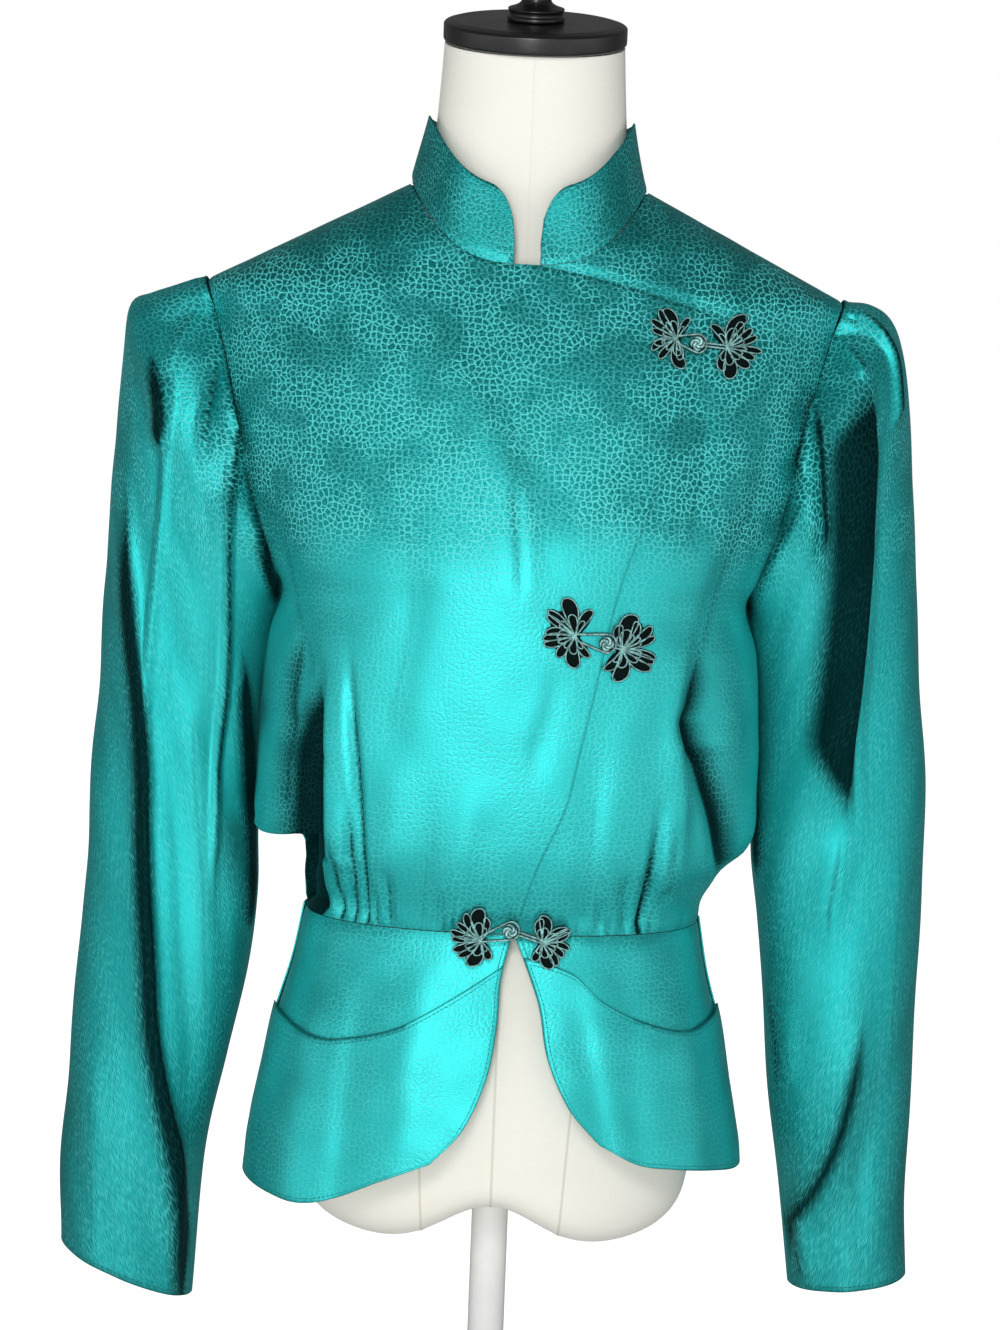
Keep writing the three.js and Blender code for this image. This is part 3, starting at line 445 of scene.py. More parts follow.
def fold_effect(folds, x, z):
    """What a list of folds does to the cloth at x-z: lift, sideways shift, and how much painted shade it
    gets.

    The painted shade is above zero inside a trough, where the cloth's colour is darkened, and falls evenly
    across its sides, to well below zero.
    """
    relief, shift, painted_shade = np.zeros((3, *np.broadcast(x, z).shape))
    painted_shade -= LEVEL
    for rise, left, right, fade_top, fade_foot, path, *tuck in folds:
        points = table("x z", path)
        top, foot = points["z"][0], points["z"][-1]
        along = read(points, "z", z, "x")
        lean = (read(points, "z", z + 2, "x") - read(points, "z", z - 2, "x")) / 4
        away = (x - along) / np.sqrt(1 + lean**2)
        share = np.abs(away) / np.where(away < 0, left, right)
        bell = np.exp(-(share**2))
        fade = smooth((top - z) / fade_top) * smooth((z - foot + fade_foot) / fade_foot)
        relief += rise * fade * bell
        if rise < 0:
            painted_shade = np.maximum(painted_shade, fade * min(-rise / HOLLOW_DEPTH, HOLLOW_MOST) - share)
        for width in tuck:
            beyond = away * np.sign(width)
            flap = smooth((beyond + 2) / 9) * (1 - smooth((beyond - 7) / 26))
            shift -= width * fade * flap
    return relief, shift, painted_shade


def fold_relief(folds, x, z):
    return fold_effect(folds, x, z)[0]


def gathers(x, z, seam_z, seed, count, reach, side=1):
    """Short uneven pleats that run up (side 1) or down (side -1) from a level seam."""
    chance = np.random.default_rng(seed)
    relief = np.zeros(np.broadcast(x, z).shape)
    for k in range(count):
        place = mix(-reach, reach, (k + chance.uniform(0.2, 0.8)) / count)
        length = chance.uniform(10, 34)
        width = chance.uniform(1.3, 2.6)
        rise = chance.uniform(-1.6, 0.7)
        lean = chance.uniform(-0.06, 0.06)
        up = (z - seam_z) * side
        away = (x - place * (1 + up * 0.0009) - lean * up) / (width * (1 + clamp(up / 60)))
        relief += rise * smooth(1 - up / length) * np.exp(-(away**2))
    return relief


# ---------- Surfaces of the bodice and the peplum ----------


def bodice_half(z):
    """Half width of a level section; above the shoulder tip its ends lie on the shoulder seams."""
    slope = mix(SHOULDER_TIP[0], NECK_SIDE[0], (z - SHOULDER_TIP[1]) / (NECK_SIDE[1] - SHOULDER_TIP[1]))
    return np.where(z < SHOULDER_TIP[1], read(BODICE, "z", z, "half"), slope)


def front_depth(x, z, gap=0):
    seam = read(BODICE, "z", z, "seam") - gap / 2
    return seam + (read(BODICE, "z", z, "front") - seam) * roundness(x, bodice_half(z))


def back_depth(x, z, gap=0):
    seam = read(BODICE, "z", z, "seam") + gap / 2
    return seam + (read(BODICE, "z", z, "back") - seam) * roundness(x, bodice_half(z))


def shoulder_height(x):
    t = (np.abs(x) - NECK_SIDE[0]) / (SHOULDER_TIP[0] - NECK_SIDE[0])
    return mix(NECK_SIDE[1], SHOULDER_TIP[1], clamp(t))


def front_neck_height(x):
    return mix(NECK_FRONT, NECK_SIDE[1], clamp(np.abs(x) / NECK_SIDE[0]) ** 3)


def back_neck_height(x):
    return mix(NECK_BACK, NECK_SIDE[1], clamp(np.abs(x) / NECK_SIDE[0]) ** 2)


def front_top(x):
    return np.where(np.abs(x) < NECK_SIDE[0], front_neck_height(x), shoulder_height(x))


def back_top(x):
    return np.where(np.abs(x) < NECK_SIDE[0], back_neck_height(x), shoulder_height(x))


def over_front_top(x):
    lap = mix(NECK_FRONT, LAP_CORNER[1], clamp(x / LAP_CORNER[0]) ** LAP_SAG)
    return np.where(x < 0, front_top(x), lap)


def lap_reach(z):
    """How far the over front reaches across at a height."""
    share = clamp((NECK_FRONT - z) / (NECK_FRONT - LAP_CORNER[1]))
    return np.where(z <= LAP_CORNER[1], read(WRAP_EDGE, "z", z, "x"), LAP_CORNER[0] * share ** (1 / LAP_SAG))


def under_front_depth(x, z, gap=0):
    return front_depth(x, z, gap) + LAP_STEP * (1 - smooth((x - lap_reach(z) - 4) / 30))


def arm_x(z, rise):
    """Half width of a bodice panel at its side seam and its armhole."""
    above = read(ARMHOLE, "z", mix(UNDERARM, SHOULDER_TIP[1], rise), "x")
    return np.where(rise > 0, above, read(BODICE, "z", z, "half"))


def wrap_x(z, rise):
    return read(WRAP_EDGE, "z", np.where(rise > 0, mix(UNDERARM, LAP_CORNER[1], rise), z), "x")


def hidden_x(z, rise):
    """The under front's free edge."""
    below = 0.5 * (z - WAIST) / (UNDERARM - WAIST)
    return mix(LAP_HIDDEN, 3, np.where(rise > 0, mix(0.5, 1, rise), below))


def peplum_depth(x, z, is_front, gap=0):
    half = read(PEPLUM, "z", z, "half")
    sign = -1 if is_front else 1
    face = read(PEPLUM, "z", z, "front" if is_front else "back")
    return PEPLUM_SEAM + sign * gap / 2 + (face - PEPLUM_SEAM) * roundness(x, half)


def front_effect(x, z):
    """Folds, gathers and swell of the bodice's front, with the painted shade in its troughs."""
    relief, shift, painted_shade = fold_effect(FRONT_FOLDS, x, z)
    swell = 0.5 * ripple(x, z, 110, 11) * smooth((700 - z) / 120) + 0.1 * ripple(x, z, 38, 12)
    pleats = gathers(x, z, WAIST, 21, 30, 112)
    # the gathers' troughs get painted shade as well
    return relief + pleats + swell, shift, np.maximum(painted_shade, -0.35 * pleats - 0.12)


def back_effect(x, z):
    relief, shift, painted_shade = fold_effect(BACK_FOLDS, x, z)
    swell = 0.7 * ripple(x, z, 110, 13) * smooth((720 - z) / 120) + 0.12 * ripple(x, z, 38, 14)
    pleats = gathers(x, z, WAIST, 22, 30, 110)
    # the gathers' troughs get painted shade as well
    return relief + pleats + swell, shift, np.maximum(painted_shade, -0.35 * pleats - 0.12)


# ---------- Grids of points ----------


def unit(vectors):
    return vectors / np.maximum(np.linalg.norm(vectors, axis=-1, keepdims=True), 1e-9)


def normals(grid, closed=False):
    """Unit normals of a grid of points, along its columns times down its rows."""
    if closed:
        along = np.roll(grid, -1, axis=1) - np.roll(grid, 1, axis=1)
    else:
        along = np.gradient(grid, axis=1)
    return unit(np.cross(along, np.gradient(grid, axis=0)))


def walk(grid, axis):
    """Length along each column (axis 0) or row (axis 1) of a grid, from its first point."""
    steps = np.linalg.norm(np.diff(grid, axis=axis), axis=-1)
    start = np.zeros_like(steps.take([0], axis=axis))
    return np.concatenate([start, np.cumsum(steps, axis=axis)], axis=axis)


def even(place, count, samples=600):
    """Stations from 0 to 1 that a curve's points divide into equal lengths."""
    t = np.linspace(0, 1, samples)
    length = walk(place(t)[:, None, :], 0)[:, 0]
    return np.interp(np.linspace(0, length[-1], count), length, t)


def section_length(x, z, depth, samples=48):
    """Length of a level section from its middle to x, signed as x is."""
    t = np.linspace(0, 1, samples)
    points_x = x[..., None] * t
    points_y = depth(points_x, np.broadcast_to(z[..., None], points_x.shape))
    steps = np.hypot(np.diff(points_x, axis=-1), np.diff(points_y, axis=-1))
    return np.sign(x) * steps.sum(axis=-1)


class Sheet:
    """A grid of points, its place on the flat cloth, how far it lies from its finished edges, and its painted
    shade.
    """

    def __init__(self, points, flat_u, flat_v, outward, closed=False):
        self.points = points
        self.flat = np.stack([flat_u, flat_v], axis=-1)
        self.outward = outward
        self.closed = closed
        self.run = np.zeros(points.shape[:2])
        self.edge = np.full(points.shape[:2], 99.0)
        self.painted_shade = np.full(points.shape[:2], -LEVEL)

    def distances(self):
        """Length to the first and last row and to the first and last column."""
        down = walk(self.points, 0)
        across = walk(self.points, 1)
        return {
            "top": down,
            "foot": down[-1] - down,
            "first": across,
            "last": across[:, -1:] - across,
        }

    def finish_edges(self, *names):
        """Marks edges that are hemmed and stitched, for the topstitching."""
        far = self.distances()
        for name in names:
            nearer = far[name] < self.edge
            along = far["first"] if name in ("top", "foot") else far["top"]
            self.run = np.where(nearer, along, self.run)
            self.edge = np.where(nearer, far[name], self.edge)
        return self

    def lift(self, relief, seams=None, soft=6, shift=0.0, painted_shade=-LEVEL):
        """Moves the points out by the relief and sideways by the shift. Both fade at the seams.

        The seams are the names of edges, each with how much painted shade lies along it.
        """
        far = self.distances()
        groove = np.zeros_like(relief)
        fade = np.ones_like(relief)
        line = np.full(relief.shape, -LEVEL)
        for name, dark in (seams or {}).items():
            fade = fade * smooth(far[name] / soft)
            groove = np.maximum(groove, np.exp(-((far[name] / SEAM_WIDTH) ** 2)))
            # painted shade along each seam
            line = np.maximum(line, dark - far[name] / SEAM_WIDTH)
        out = normals(self.points, self.closed) * self.outward
        if self.closed:
            along = np.roll(self.points, -1, axis=1) - np.roll(self.points, 1, axis=1)
        else:
            along = np.gradient(self.points, axis=1)
        sideways = unit(along * [1, 1, 0.0]) * np.sign(along[..., :1])
        self.points = self.points + out * (relief * fade - 0.8 * groove)[..., None]
        self.points = self.points + sideways * (shift * fade)[..., None]
        self.painted_shade = np.maximum(self.painted_shade, np.maximum(painted_shade, line))
        return self

    def build(self, name, wall, rolled=()):
        """Makes the closed wall of cloth. The rolled edges are rounded, the others are cut straight."""
        outer = self.points
        rows, columns = outer.shape[:2]
        inner = outer - normals(outer, self.closed) * self.outward * wall
        vertices = [outer.reshape(-1, 3), inner.reshape(-1, 3)]
        flat = [self.flat.reshape(-1, 2)] * 2
        trim = [np.stack([self.run, self.edge], axis=-1).reshape(-1, 2)] * 2
        painted_shade = [self.painted_shade.ravel()] * 2
        under = rows * columns
        index = np.arange(under).reshape(rows, columns)
        a, b = index[:-1, :-1], index[:-1, 1:]
        c, d = index[1:, 1:], index[1:, :-1]
        quads = np.stack([a, b, c, d], axis=-1).reshape(-1, 4)
        faces = [quads, under + quads[:, ::-1]]
        borders = {
            "top": (index[0], outer[0] - outer[1]),
            "foot": (index[-1, ::-1], (outer[-1] - outer[-2])[::-1]),
            "first": (index[::-1, 0], (outer[:, 0] - outer[:, 1])[::-1]),
            "last": (index[:, -1], outer[:, -1] - outer[:, -2]),
        }
        count = 2 * under
        for side, (line, away) in borders.items():
            if self.closed and side in ("first", "last"):
                continue
            if side not in rolled:
                faces.append(np.stack([line[1:], line[:-1], under + line[:-1], under + line[1:]], axis=-1))
                continue
            middle = (outer.reshape(-1, 3)[line] + inner.reshape(-1, 3)[line]) / 2
            vertices.append(middle + unit(away) * wall * 0.5)
            flat.append(self.flat.reshape(-1, 2)[line])
            trim.append(trim[0][line])
            painted_shade.append(painted_shade[0][line])
            ridge = np.arange(count, count + len(line))
            count += len(line)
            faces.append(np.stack([line[1:], line[:-1], ridge[:-1], ridge[1:]], axis=-1))
            faces.append(np.stack([ridge[1:], ridge[:-1], under + line[:-1], under + line[1:]], axis=-1))
        vertices = np.concatenate(vertices)
        faces = np.concatenate(faces)
        flat = np.concatenate(flat) * MM
        trim = np.concatenate(trim)
        loops_flat = flat[faces.ravel()]
        loops_trim = trim[faces.ravel()]
        if self.closed:  # the last column is the first one again
            merged = np.arange(len(vertices))
            grid = np.arange(2 * under).reshape(2, rows, columns)
            merged[grid[:, :, -1].ravel()] = grid[:, :, 0].ravel()
            if count > 2 * under:
                ends = np.arange(2 * under, count).reshape(-1, columns)
                for line in ends:
                    merged[line[-1]] = line[0]
            faces = merged[faces]
        layers = {"cloth": loops_flat, "trim": loops_trim}
        return make_object(name, vertices, faces, layers, {"painted_shade": np.concatenate(painted_shade)})


def signed_volume(vertices, faces):
    """Six times the volume that the faces enclose, above zero where they face out."""
    corner = vertices[faces]
    first = np.einsum("ij,ij->i", corner[:, 0], np.cross(corner[:, 1], corner[:, 2])).sum()
    if faces.shape[1] == 3:
        return first
    return first + np.einsum("ij,ij->i", corner[:, 0], np.cross(corner[:, 2], corner[:, 3])).sum()


def make_object(name, vertices, faces, layers=None, tints=None, sharp=50):
    """A Blender object, in metres, from points in millimetres and faces of three or four corners."""
    vertices = np.asarray(vertices, float)
    faces = np.asarray(faces)
    corners = np.arange(faces.size).reshape(faces.shape)
    if signed_volume(vertices, faces) < 0:
        faces = faces[:, ::-1]
        corners = corners[:, ::-1]
    used, compact = np.unique(faces, return_inverse=True)
    compact = compact.reshape(faces.shape)
    mesh = bpy.data.meshes.new(name)
    mesh.from_pydata((vertices[used] * MM).tolist(), [], compact.tolist())
    for layer, values in (layers or {}).items():
        uv = mesh.uv_layers.new(name=layer)
        uv.data.foreach_set("uv", values[corners.ravel()].astype(np.float32).ravel())
    for tint, values in (tints or {}).items():
        attribute = mesh.attributes.new(tint, "FLOAT", "POINT")
        attribute.data.foreach_set("value", np.asarray(values, np.float32)[used])
    mesh.shade_smooth()
    mesh.set_sharp_from_angle(angle=math.radians(sharp))
    mesh.validate()
    mesh.update()
    piece = bpy.data.objects.new(name, mesh)
    bpy.context.scene.collection.objects.link(piece)
    return piece


# ---------- Panels of the blouse ----------


def crease(sheet, effect, sizes, seams, soft=6):
    """Lays the folds, and their painted shade, into a sheet."""
    relief, shift, painted_shade = effect
    return sheet.lift(relief * sizes.creases, seams, soft, shift * sizes.creases, painted_shade)


def bodice_panel(step, first_x, last_x, top, depth):
    """Points of a bodice panel whose two sides and top edge are given as functions."""
    middle = 445.0

    def level(t):
        x = mix(first_x(middle, 0.0), last_x(middle, 0.0), t)
        return np.stack([x, depth(x, middle, 0), np.full_like(x, middle)], axis=-1)

    width = walk(level(np.linspace(0, 1, 400))[:, None, :], 0)[-1, 0]
    a = even(level, int(width / step))[None, :]
    low = np.linspace(WAIST, UNDERARM, int((UNDERARM - WAIST) / (2 * step)))[:-1]
    high = np.linspace(0, 1, int(225 / (2 * step)))
    base = np.concatenate([low, np.full(len(high), UNDERARM)])[:, None]
    rise = np.concatenate([np.zeros(len(low)), high])[:, None]
    top_x = mix(first_x(UNDERARM, 1.0), last_x(UNDERARM, 1.0), a)
    x = mix(first_x(base, rise), last_x(base, rise), a)
    z = mix(base, top(top_x), rise)
    return x[::-1], z[::-1]


def bodice_sheet(step, gap, first_x, last_x, top, depth, outward):
    x, z = bodice_panel(step, first_x, last_x, top, depth)
    drawn = POUCH_FROM + (x - POUCH_FROM) * read(POUCH, "z", z, "share")
    points = np.stack([np.where(x < POUCH_FROM, drawn, x), depth(x, z, gap), z], axis=-1)
    points[-1, :, 2] += gap / 2
    return Sheet(points, section_length(x, z, depth), z, outward)


def over_front(sizes):
    sheet = bodice_sheet(
        sizes.step, sizes.seam_gap, lambda z, rise: -arm_x(z, rise), wrap_x, over_front_top, front_depth, -1
    )
    x, z = sheet.points[..., 0], sheet.points[..., 2]
    return crease(sheet, front_effect(x, z), sizes, {"first": ARMHOLE_LINE, "foot": WAIST_LINE})


def under_front(sizes):
    sheet = bodice_sheet(sizes.step, sizes.seam_gap, hidden_x, arm_x, front_top, under_front_depth, -1)
    x, z = sheet.points[..., 0], sheet.points[..., 2]
    return crease(sheet, front_effect(x, z), sizes, {"last": ARMHOLE_LINE, "foot": WAIST_LINE})


def back_panel(sizes):
    sheet = bodice_sheet(
        sizes.step * 1.5, sizes.seam_gap, arm_x, lambda z, rise: -arm_x(z, rise), back_top, back_depth, -1
    )
    x, z = sheet.points[..., 0], sheet.points[..., 2]
    seams = {"first": ARMHOLE_LINE, "last": ARMHOLE_LINE, "foot": WAIST_LINE}
    return crease(sheet, back_effect(x, z), sizes, seams)


def neckline(t, side, gap):
    """Points of the neckline, from the front gap (0) round one side to the centre back (1)."""
    power = 1.15
    turn = mix(math.asin((COLLAR_GAP / NECK_SIDE[0]) ** power), math.pi, t)
    x = NECK_SIDE[0] * np.abs(np.sin(turn)) ** (1 / power)
    is_front = turn < math.pi / 2
    z = np.where(is_front, front_neck_height(x), back_neck_height(x))
    y = np.where(is_front, front_depth(x, z, gap), back_depth(x, z, gap))
    return np.stack([side * x, y, z + COLLAR_SEAM], axis=-1)


def collar_sheet(sizes):
    half = even(lambda t: neckline(t, 1, 0), 110)
    t = np.concatenate([half, half[-2::-1]])
    side = np.concatenate([np.full(len(half), -1), np.full(len(half) - 1, 1)])
    base = neckline(t, side[:, None][:, 0], sizes.seam_gap)
    start = neckline(np.zeros(len(t)), side, sizes.seam_gap)
    from_edge = np.linalg.norm(base - start, axis=-1) / COLLAR_CORNER
    corner = np.sqrt(1 - (1 - clamp(from_edge)) ** 2)
    rise = mix(COLLAR_EDGE, COLLAR_HEIGHT - COLLAR_FALL * t, corner)
    lean = unit(np.stack([-base[:, 0], -4 - base[:, 1], np.zeros(len(t))], axis=-1))
    v = np.linspace(0, 1, 26)[:, None]
    share = rise / COLLAR_HEIGHT
    move = COLLAR_LEAN * share * v * (1.15 - 0.15 * v)
    points = base[None] + lean[None] * move[..., None]
    points[..., 2] = base[None, :, 2] + rise * v
    run = walk(base[:, None, :], 0)[:, 0]
    flat_u = np.broadcast_to(run, points.shape[:2])
    sheet = Sheet(points[::-1], flat_u, (rise * v)[::-1], 1)
    sheet.finish_edges("top", "first", "last")
    swell = 0.5 * ripple(flat_u, rise * v[::-1], 60, 31)
    # the collar's seam gets a line of painted shade
    sheet.lift(swell * sizes.creases, {"foot": 0.3})
    return sheet


SLEEVE_LENGTH = 620.0  # along the outer line, from the shoulder to the wrist
COLUMNS_BEHIND, COLUMNS_BEFORE = 80, 160  # upright grid lines of a sleeve, at the back and the front
HEAD_PLEATS = 14
HEAD_REACH = 1.9  # how far round the armhole the pleats are spread to each side, in radians


def armhole(turn, side, gap):
    """The seam line that a sleeve starts from."""
    z = mix(SHOULDER_TIP[1], UNDERARM, (1 - np.cos(turn)) / 2)
    x = read(ARMHOLE, "z", z, "x")
    y = np.where(np.sin(turn) > 0, front_depth(x, z, gap), back_depth(x, z, gap))
    near_underarm = smooth((UNDERARM + 20 - z) / 20)
    return np.stack([side * (x + 0.35), y, z + 1.2 * near_underarm], axis=-1)


def sleeve_ring(rings, number, turn, side):
    """Points of a sleeve's plain ring, its number counted from the shoulder."""
    count = len(rings["depth"])
    keyed = {**rings, "number": np.arange(count, dtype=float)}
    ring = {name: read(keyed, "number", number, name) for name in rings}
    along = np.cos(turn) / 2
    x = (ring["outer_x"] + ring["inner_x"]) / 2 + (ring["outer_x"] - ring["inner_x"]) * along
    y = ring["behind"] - ring["depth"] * np.sin(turn)
    z = (ring["outer_z"] + ring["inner_z"]) / 2 + (ring["outer_z"] - ring["inner_z"]) * along
    return np.stack([side * x, np.broadcast_to(y, x.shape), z], axis=-1), ring["fade"]


def head_gathers(turn, down, seed):
    """Pleats that run out of the armhole seam over the head of the sleeve."""
    chance = np.random.default_rng(seed)
    relief = np.zeros(np.broadcast(turn, down).shape)
    for k in range(HEAD_PLEATS):
        place = mix(-HEAD_REACH, HEAD_REACH, (k + chance.uniform(0.15, 0.85)) / HEAD_PLEATS)
        length = chance.uniform(16, 52)
        width = chance.uniform(0.028, 0.05)
        rise = chance.uniform(-1.7, 0.9)
        relief += rise * smooth(1 - down / length) * np.exp(-(((turn - place) / width) ** 2))
    return relief


def sleeve_sheet(name, sizes):
    shape = SLEEVES[name]
    side = shape["side"]
    rings = shape["rings"]
    last = len(rings["depth"]) - 1

    def outer_line(t):
        return sleeve_ring(rings, t * last, np.zeros_like(t), side)[0]

    number = even(outer_line, int(SLEEVE_LENGTH / sizes.row))[:, None] * last
    turn = np.append(
        np.linspace(-math.pi, 0, COLUMNS_BEHIND, endpoint=False), np.linspace(0, math.pi, COLUMNS_BEFORE)
    )[None, :]
    points, fade = sleeve_ring(rings, number, turn, side)
    own = armhole(turn, side, sizes.seam_gap) - sleeve_ring(rings, 0.0, turn, side)[0]
    points = points + own * fade[..., None]
    points[:, -1] = points[:, 0]
    across = walk(points, 1)
    middle = across[:, COLUMNS_BEHIND]
    down = walk(points, 0)
    sheet = Sheet(points, across - middle[:, None], -down, -side, closed=True)
    x, z = points[..., 0], points[..., 2]
    facing = np.sin(turn)
    is_front, is_back = smooth(facing * 2.4 + 0.25), smooth(-facing * 2.4 + 0.25)
    front = fold_effect(SLEEVE_FRONT_FOLDS[name], x, z)
    back = fold_effect(SLEEVE_BACK_FOLDS[name], x, z)
    seed = 41 + side
    swell = 0.6 * ripple(across, down, 110, seed) + 0.1 * ripple(across * 1.5, down * 0.6, 40, seed + 9)
    swell *= smooth((math.pi - np.abs(turn)) / 0.5)
    inner = 0.1 + 0.9 * smooth((np.cos(turn) + 0.92) / 0.3)
    pleats = head_gathers(turn, down, seed + 20)
    relief = (front[0] * is_front + back[0] * is_back + pleats + swell) * inner
    shift = (front[1] * is_front + back[1] * is_back) * inner * smooth(np.abs(facing) * 2)
    # painted shade of the front and back folds, and of the gathers at the head
    painted_shade = np.maximum(front[2] - LEVEL * (1 - is_front), back[2] - LEVEL * (1 - is_back))
    painted_shade = np.maximum(painted_shade, -0.35 * pleats - 0.15)
    crease(sheet, (relief, shift, painted_shade), sizes, {"top": ARMHOLE_LINE}, 5)
    sheet.points[:, -1] = sheet.points[:, 0]
    sheet.finish_edges("foot")
    return sheet


FRONT_WIDTH = 190.0  # a peplum front, along its hem
FRONT_LENGTH = 150.0
POCKET_LENGTH = 110.0
BACK_WIDTH = 400.0  # the peplum's back, along its hem
BACK_LENGTH = 160.0
MOUTH_STEPS = 14  # how often the search for the pocket mouth comes nearer


def peplum_side(z):
    return read(PEPLUM, "z", z, "half")


def peplum_point(front, a, b, gap):
    """Places on a peplum front: a runs from the front edge to the side seam, b from waist to hem."""
    top = WAIST - gap / 2
    side_hem = front["side_hem"]
    edge_x = read(front["edge"], "z", mix(top, front["edge"]["z"][-1], b), "x")
    side_x = front["side"] * peplum_side(mix(top, side_hem, b))
    x = mix(edge_x, side_x, a)
    hem_x = mix(front["edge"]["x"][-1], front["side"] * peplum_side(side_hem), a)
    z = mix(top, read(front["hem"], "x", hem_x, "z"), b)
    return np.stack([x, peplum_depth(x, z, True, gap), z], axis=-1)


def peplum_stations(front, step, gap):
    def hem_line(t):
        return peplum_point(front, t, np.full_like(t, 0.6), gap)

    return even(hem_line, int(FRONT_WIDTH / step))[None, :]


def peplum_sheet(front, a, b, sizes, outward):
    points = peplum_point(front, a, b, sizes.seam_gap)
    x, z = points[..., 0], points[..., 2]
    flat_u = section_length(x, z, lambda px, pz: peplum_depth(px, pz, True))
    return Sheet(points, flat_u, z, outward)


def peplum_relief(x, z):
    swell = 0.8 * ripple(x, z, 80, 51) + 0.25 * ripple(x, z, 34, 52)
    return fold_relief(PEPLUM_FOLDS, x, z) + swell


def peplum_front(name, sizes):
    front = PEPLUM_FRONTS[name]
    a = peplum_stations(front, sizes.step, sizes.seam_gap)
    b = np.linspace(0, 0.985, int(FRONT_LENGTH / (2 * sizes.step)))[:, None]
    sheet = peplum_sheet(front, a, b, sizes, -front["side"])
    x, z = sheet.points[..., 0], sheet.points[..., 2]
    sheet.finish_edges("first", "foot")
    sheet.lift(peplum_relief(x, z) * sizes.creases, {"top": WAIST_LINE, "last": SIDE_LINE}, 8)
    return sheet


def pocket_panel(name, sizes):
    """The panel over the peplum front, from the pocket mouth down to the hem."""
    front = PEPLUM_FRONTS[name]
    gap = sizes.seam_gap
    a = peplum_stations(front, sizes.step, gap)
    share = np.full_like(a, 0.3)
    for _ in range(MOUTH_STEPS):
        point = peplum_point(front, a, share, gap)
        miss = point[..., 2] - read(front["mouth"], "x", point[..., 0], "z")
        share = clamp(share + miss / (WAIST - front["side_hem"]))
    v = np.linspace(0, 1, int(POCKET_LENGTH / (2 * sizes.step)))[:, None]
    sheet = peplum_sheet(front, a, mix(share, 1, v), sizes, -front["side"])
    x, z = sheet.points[..., 0], sheet.points[..., 2]
    stand = POCKET_STANDS * (1 - v) * np.sin(math.pi * np.minimum(a, 0.8)) ** 0.5
    plain = peplum_relief(x, z) * sizes.creases
    side_seam = smooth(walk(sheet.points, 1)[:, -1:] / 8 - walk(sheet.points, 1) / 8)
    sheet.lift(plain * side_seam + sizes.wall + 0.35 + stand)
    sheet.finish_edges("first", "foot", "top")
    return sheet


def peplum_back(sizes):
    gap = sizes.seam_gap

    def hem_line(t):
        x = mix(140.0, -140.0, t)
        return np.stack([x, peplum_depth(x, 200.0, False), np.full_like(x, 200.0)], axis=-1)

    a = even(hem_line, int(BACK_WIDTH / (2 * sizes.step)))[None, :]
    b = np.linspace(0, 1, int(BACK_LENGTH / (2 * sizes.step)))[:, None]
    hem = mix(PEPLUM_FRONTS["left"]["side_hem"], PEPLUM_FRONTS["right"]["side_hem"], a)
    z = mix(WAIST - gap / 2, hem, b)
    x = mix(peplum_side(z), -peplum_side(z), a)
    points = np.stack([x, peplum_depth(x, z, False, gap), z], axis=-1)
    flat_u = section_length(x, z, lambda px, pz: peplum_depth(px, pz, False))
    sheet = Sheet(points, flat_u, z, 1)
    sheet.finish_edges("foot")
    swell = 0.9 * ripple(x, z, 80, 53) + 0.25 * ripple(x, z, 34, 54)
    relief = fold_relief(PEPLUM_BACK_FOLDS, x, z) + swell
    seams = {"top": WAIST_LINE, "first": SIDE_LINE, "last": SIDE_LINE}
    sheet.lift(relief * sizes.creases, seams, 8)
    return sheet


# ---------- Frogs ----------

# Petals of a frog's loop side, mirrored on the other: direction in degrees, length and width in
# shares of the half's own height
PETALS = table("turn length width", [
    [100, 1.12, 0.46],
    [126, 1.0, 0.25],
    [145, 0.98, 0.23],
    [164, 0.94, 0.23],
    [184, 0.86, 0.24],
    [206, 0.86, 0.26],
    [232, 0.88, 0.3],
    [262, 0.98, 0.44],
    [290, 0.74, 0.27],
    [70, 0.84, 0.27],
])
INNER_SHARE = 0.56  # size of the small petal that lies inside each large one
CORD_WIDTH = 0.56  # half of the flat cord's thickness
CORD_HEIGHT = 1.05  # half of its height, standing on edge


def visible_front(x, z, creases):
    """Outermost surface of the blouse's front, its folds included."""
    low = peplum_depth(x, np.minimum(z, WAIST), True)
    bodice = np.where(x > lap_reach(z), under_front_depth(x, z), front_depth(x, z))
    return np.where(z <= WAIST, low, bodice - front_effect(x, z)[0] * creases * smooth((z - WAIST) / 6))


def bridged_front(x, z, creases):
    """The same, with a straight bridge over the dip at the waist seam."""
    foot, top = BRIDGE
    from_foot = peplum_depth(x, np.full_like(x, foot), True) - POCKET_STANDS
    at_top = visible_front(x, np.full_like(x, top), creases)
    bridge = mix(from_foot, at_top, (z - foot) / (top - foot))
    return np.where(z > top, visible_front(x, z, creases), bridge)


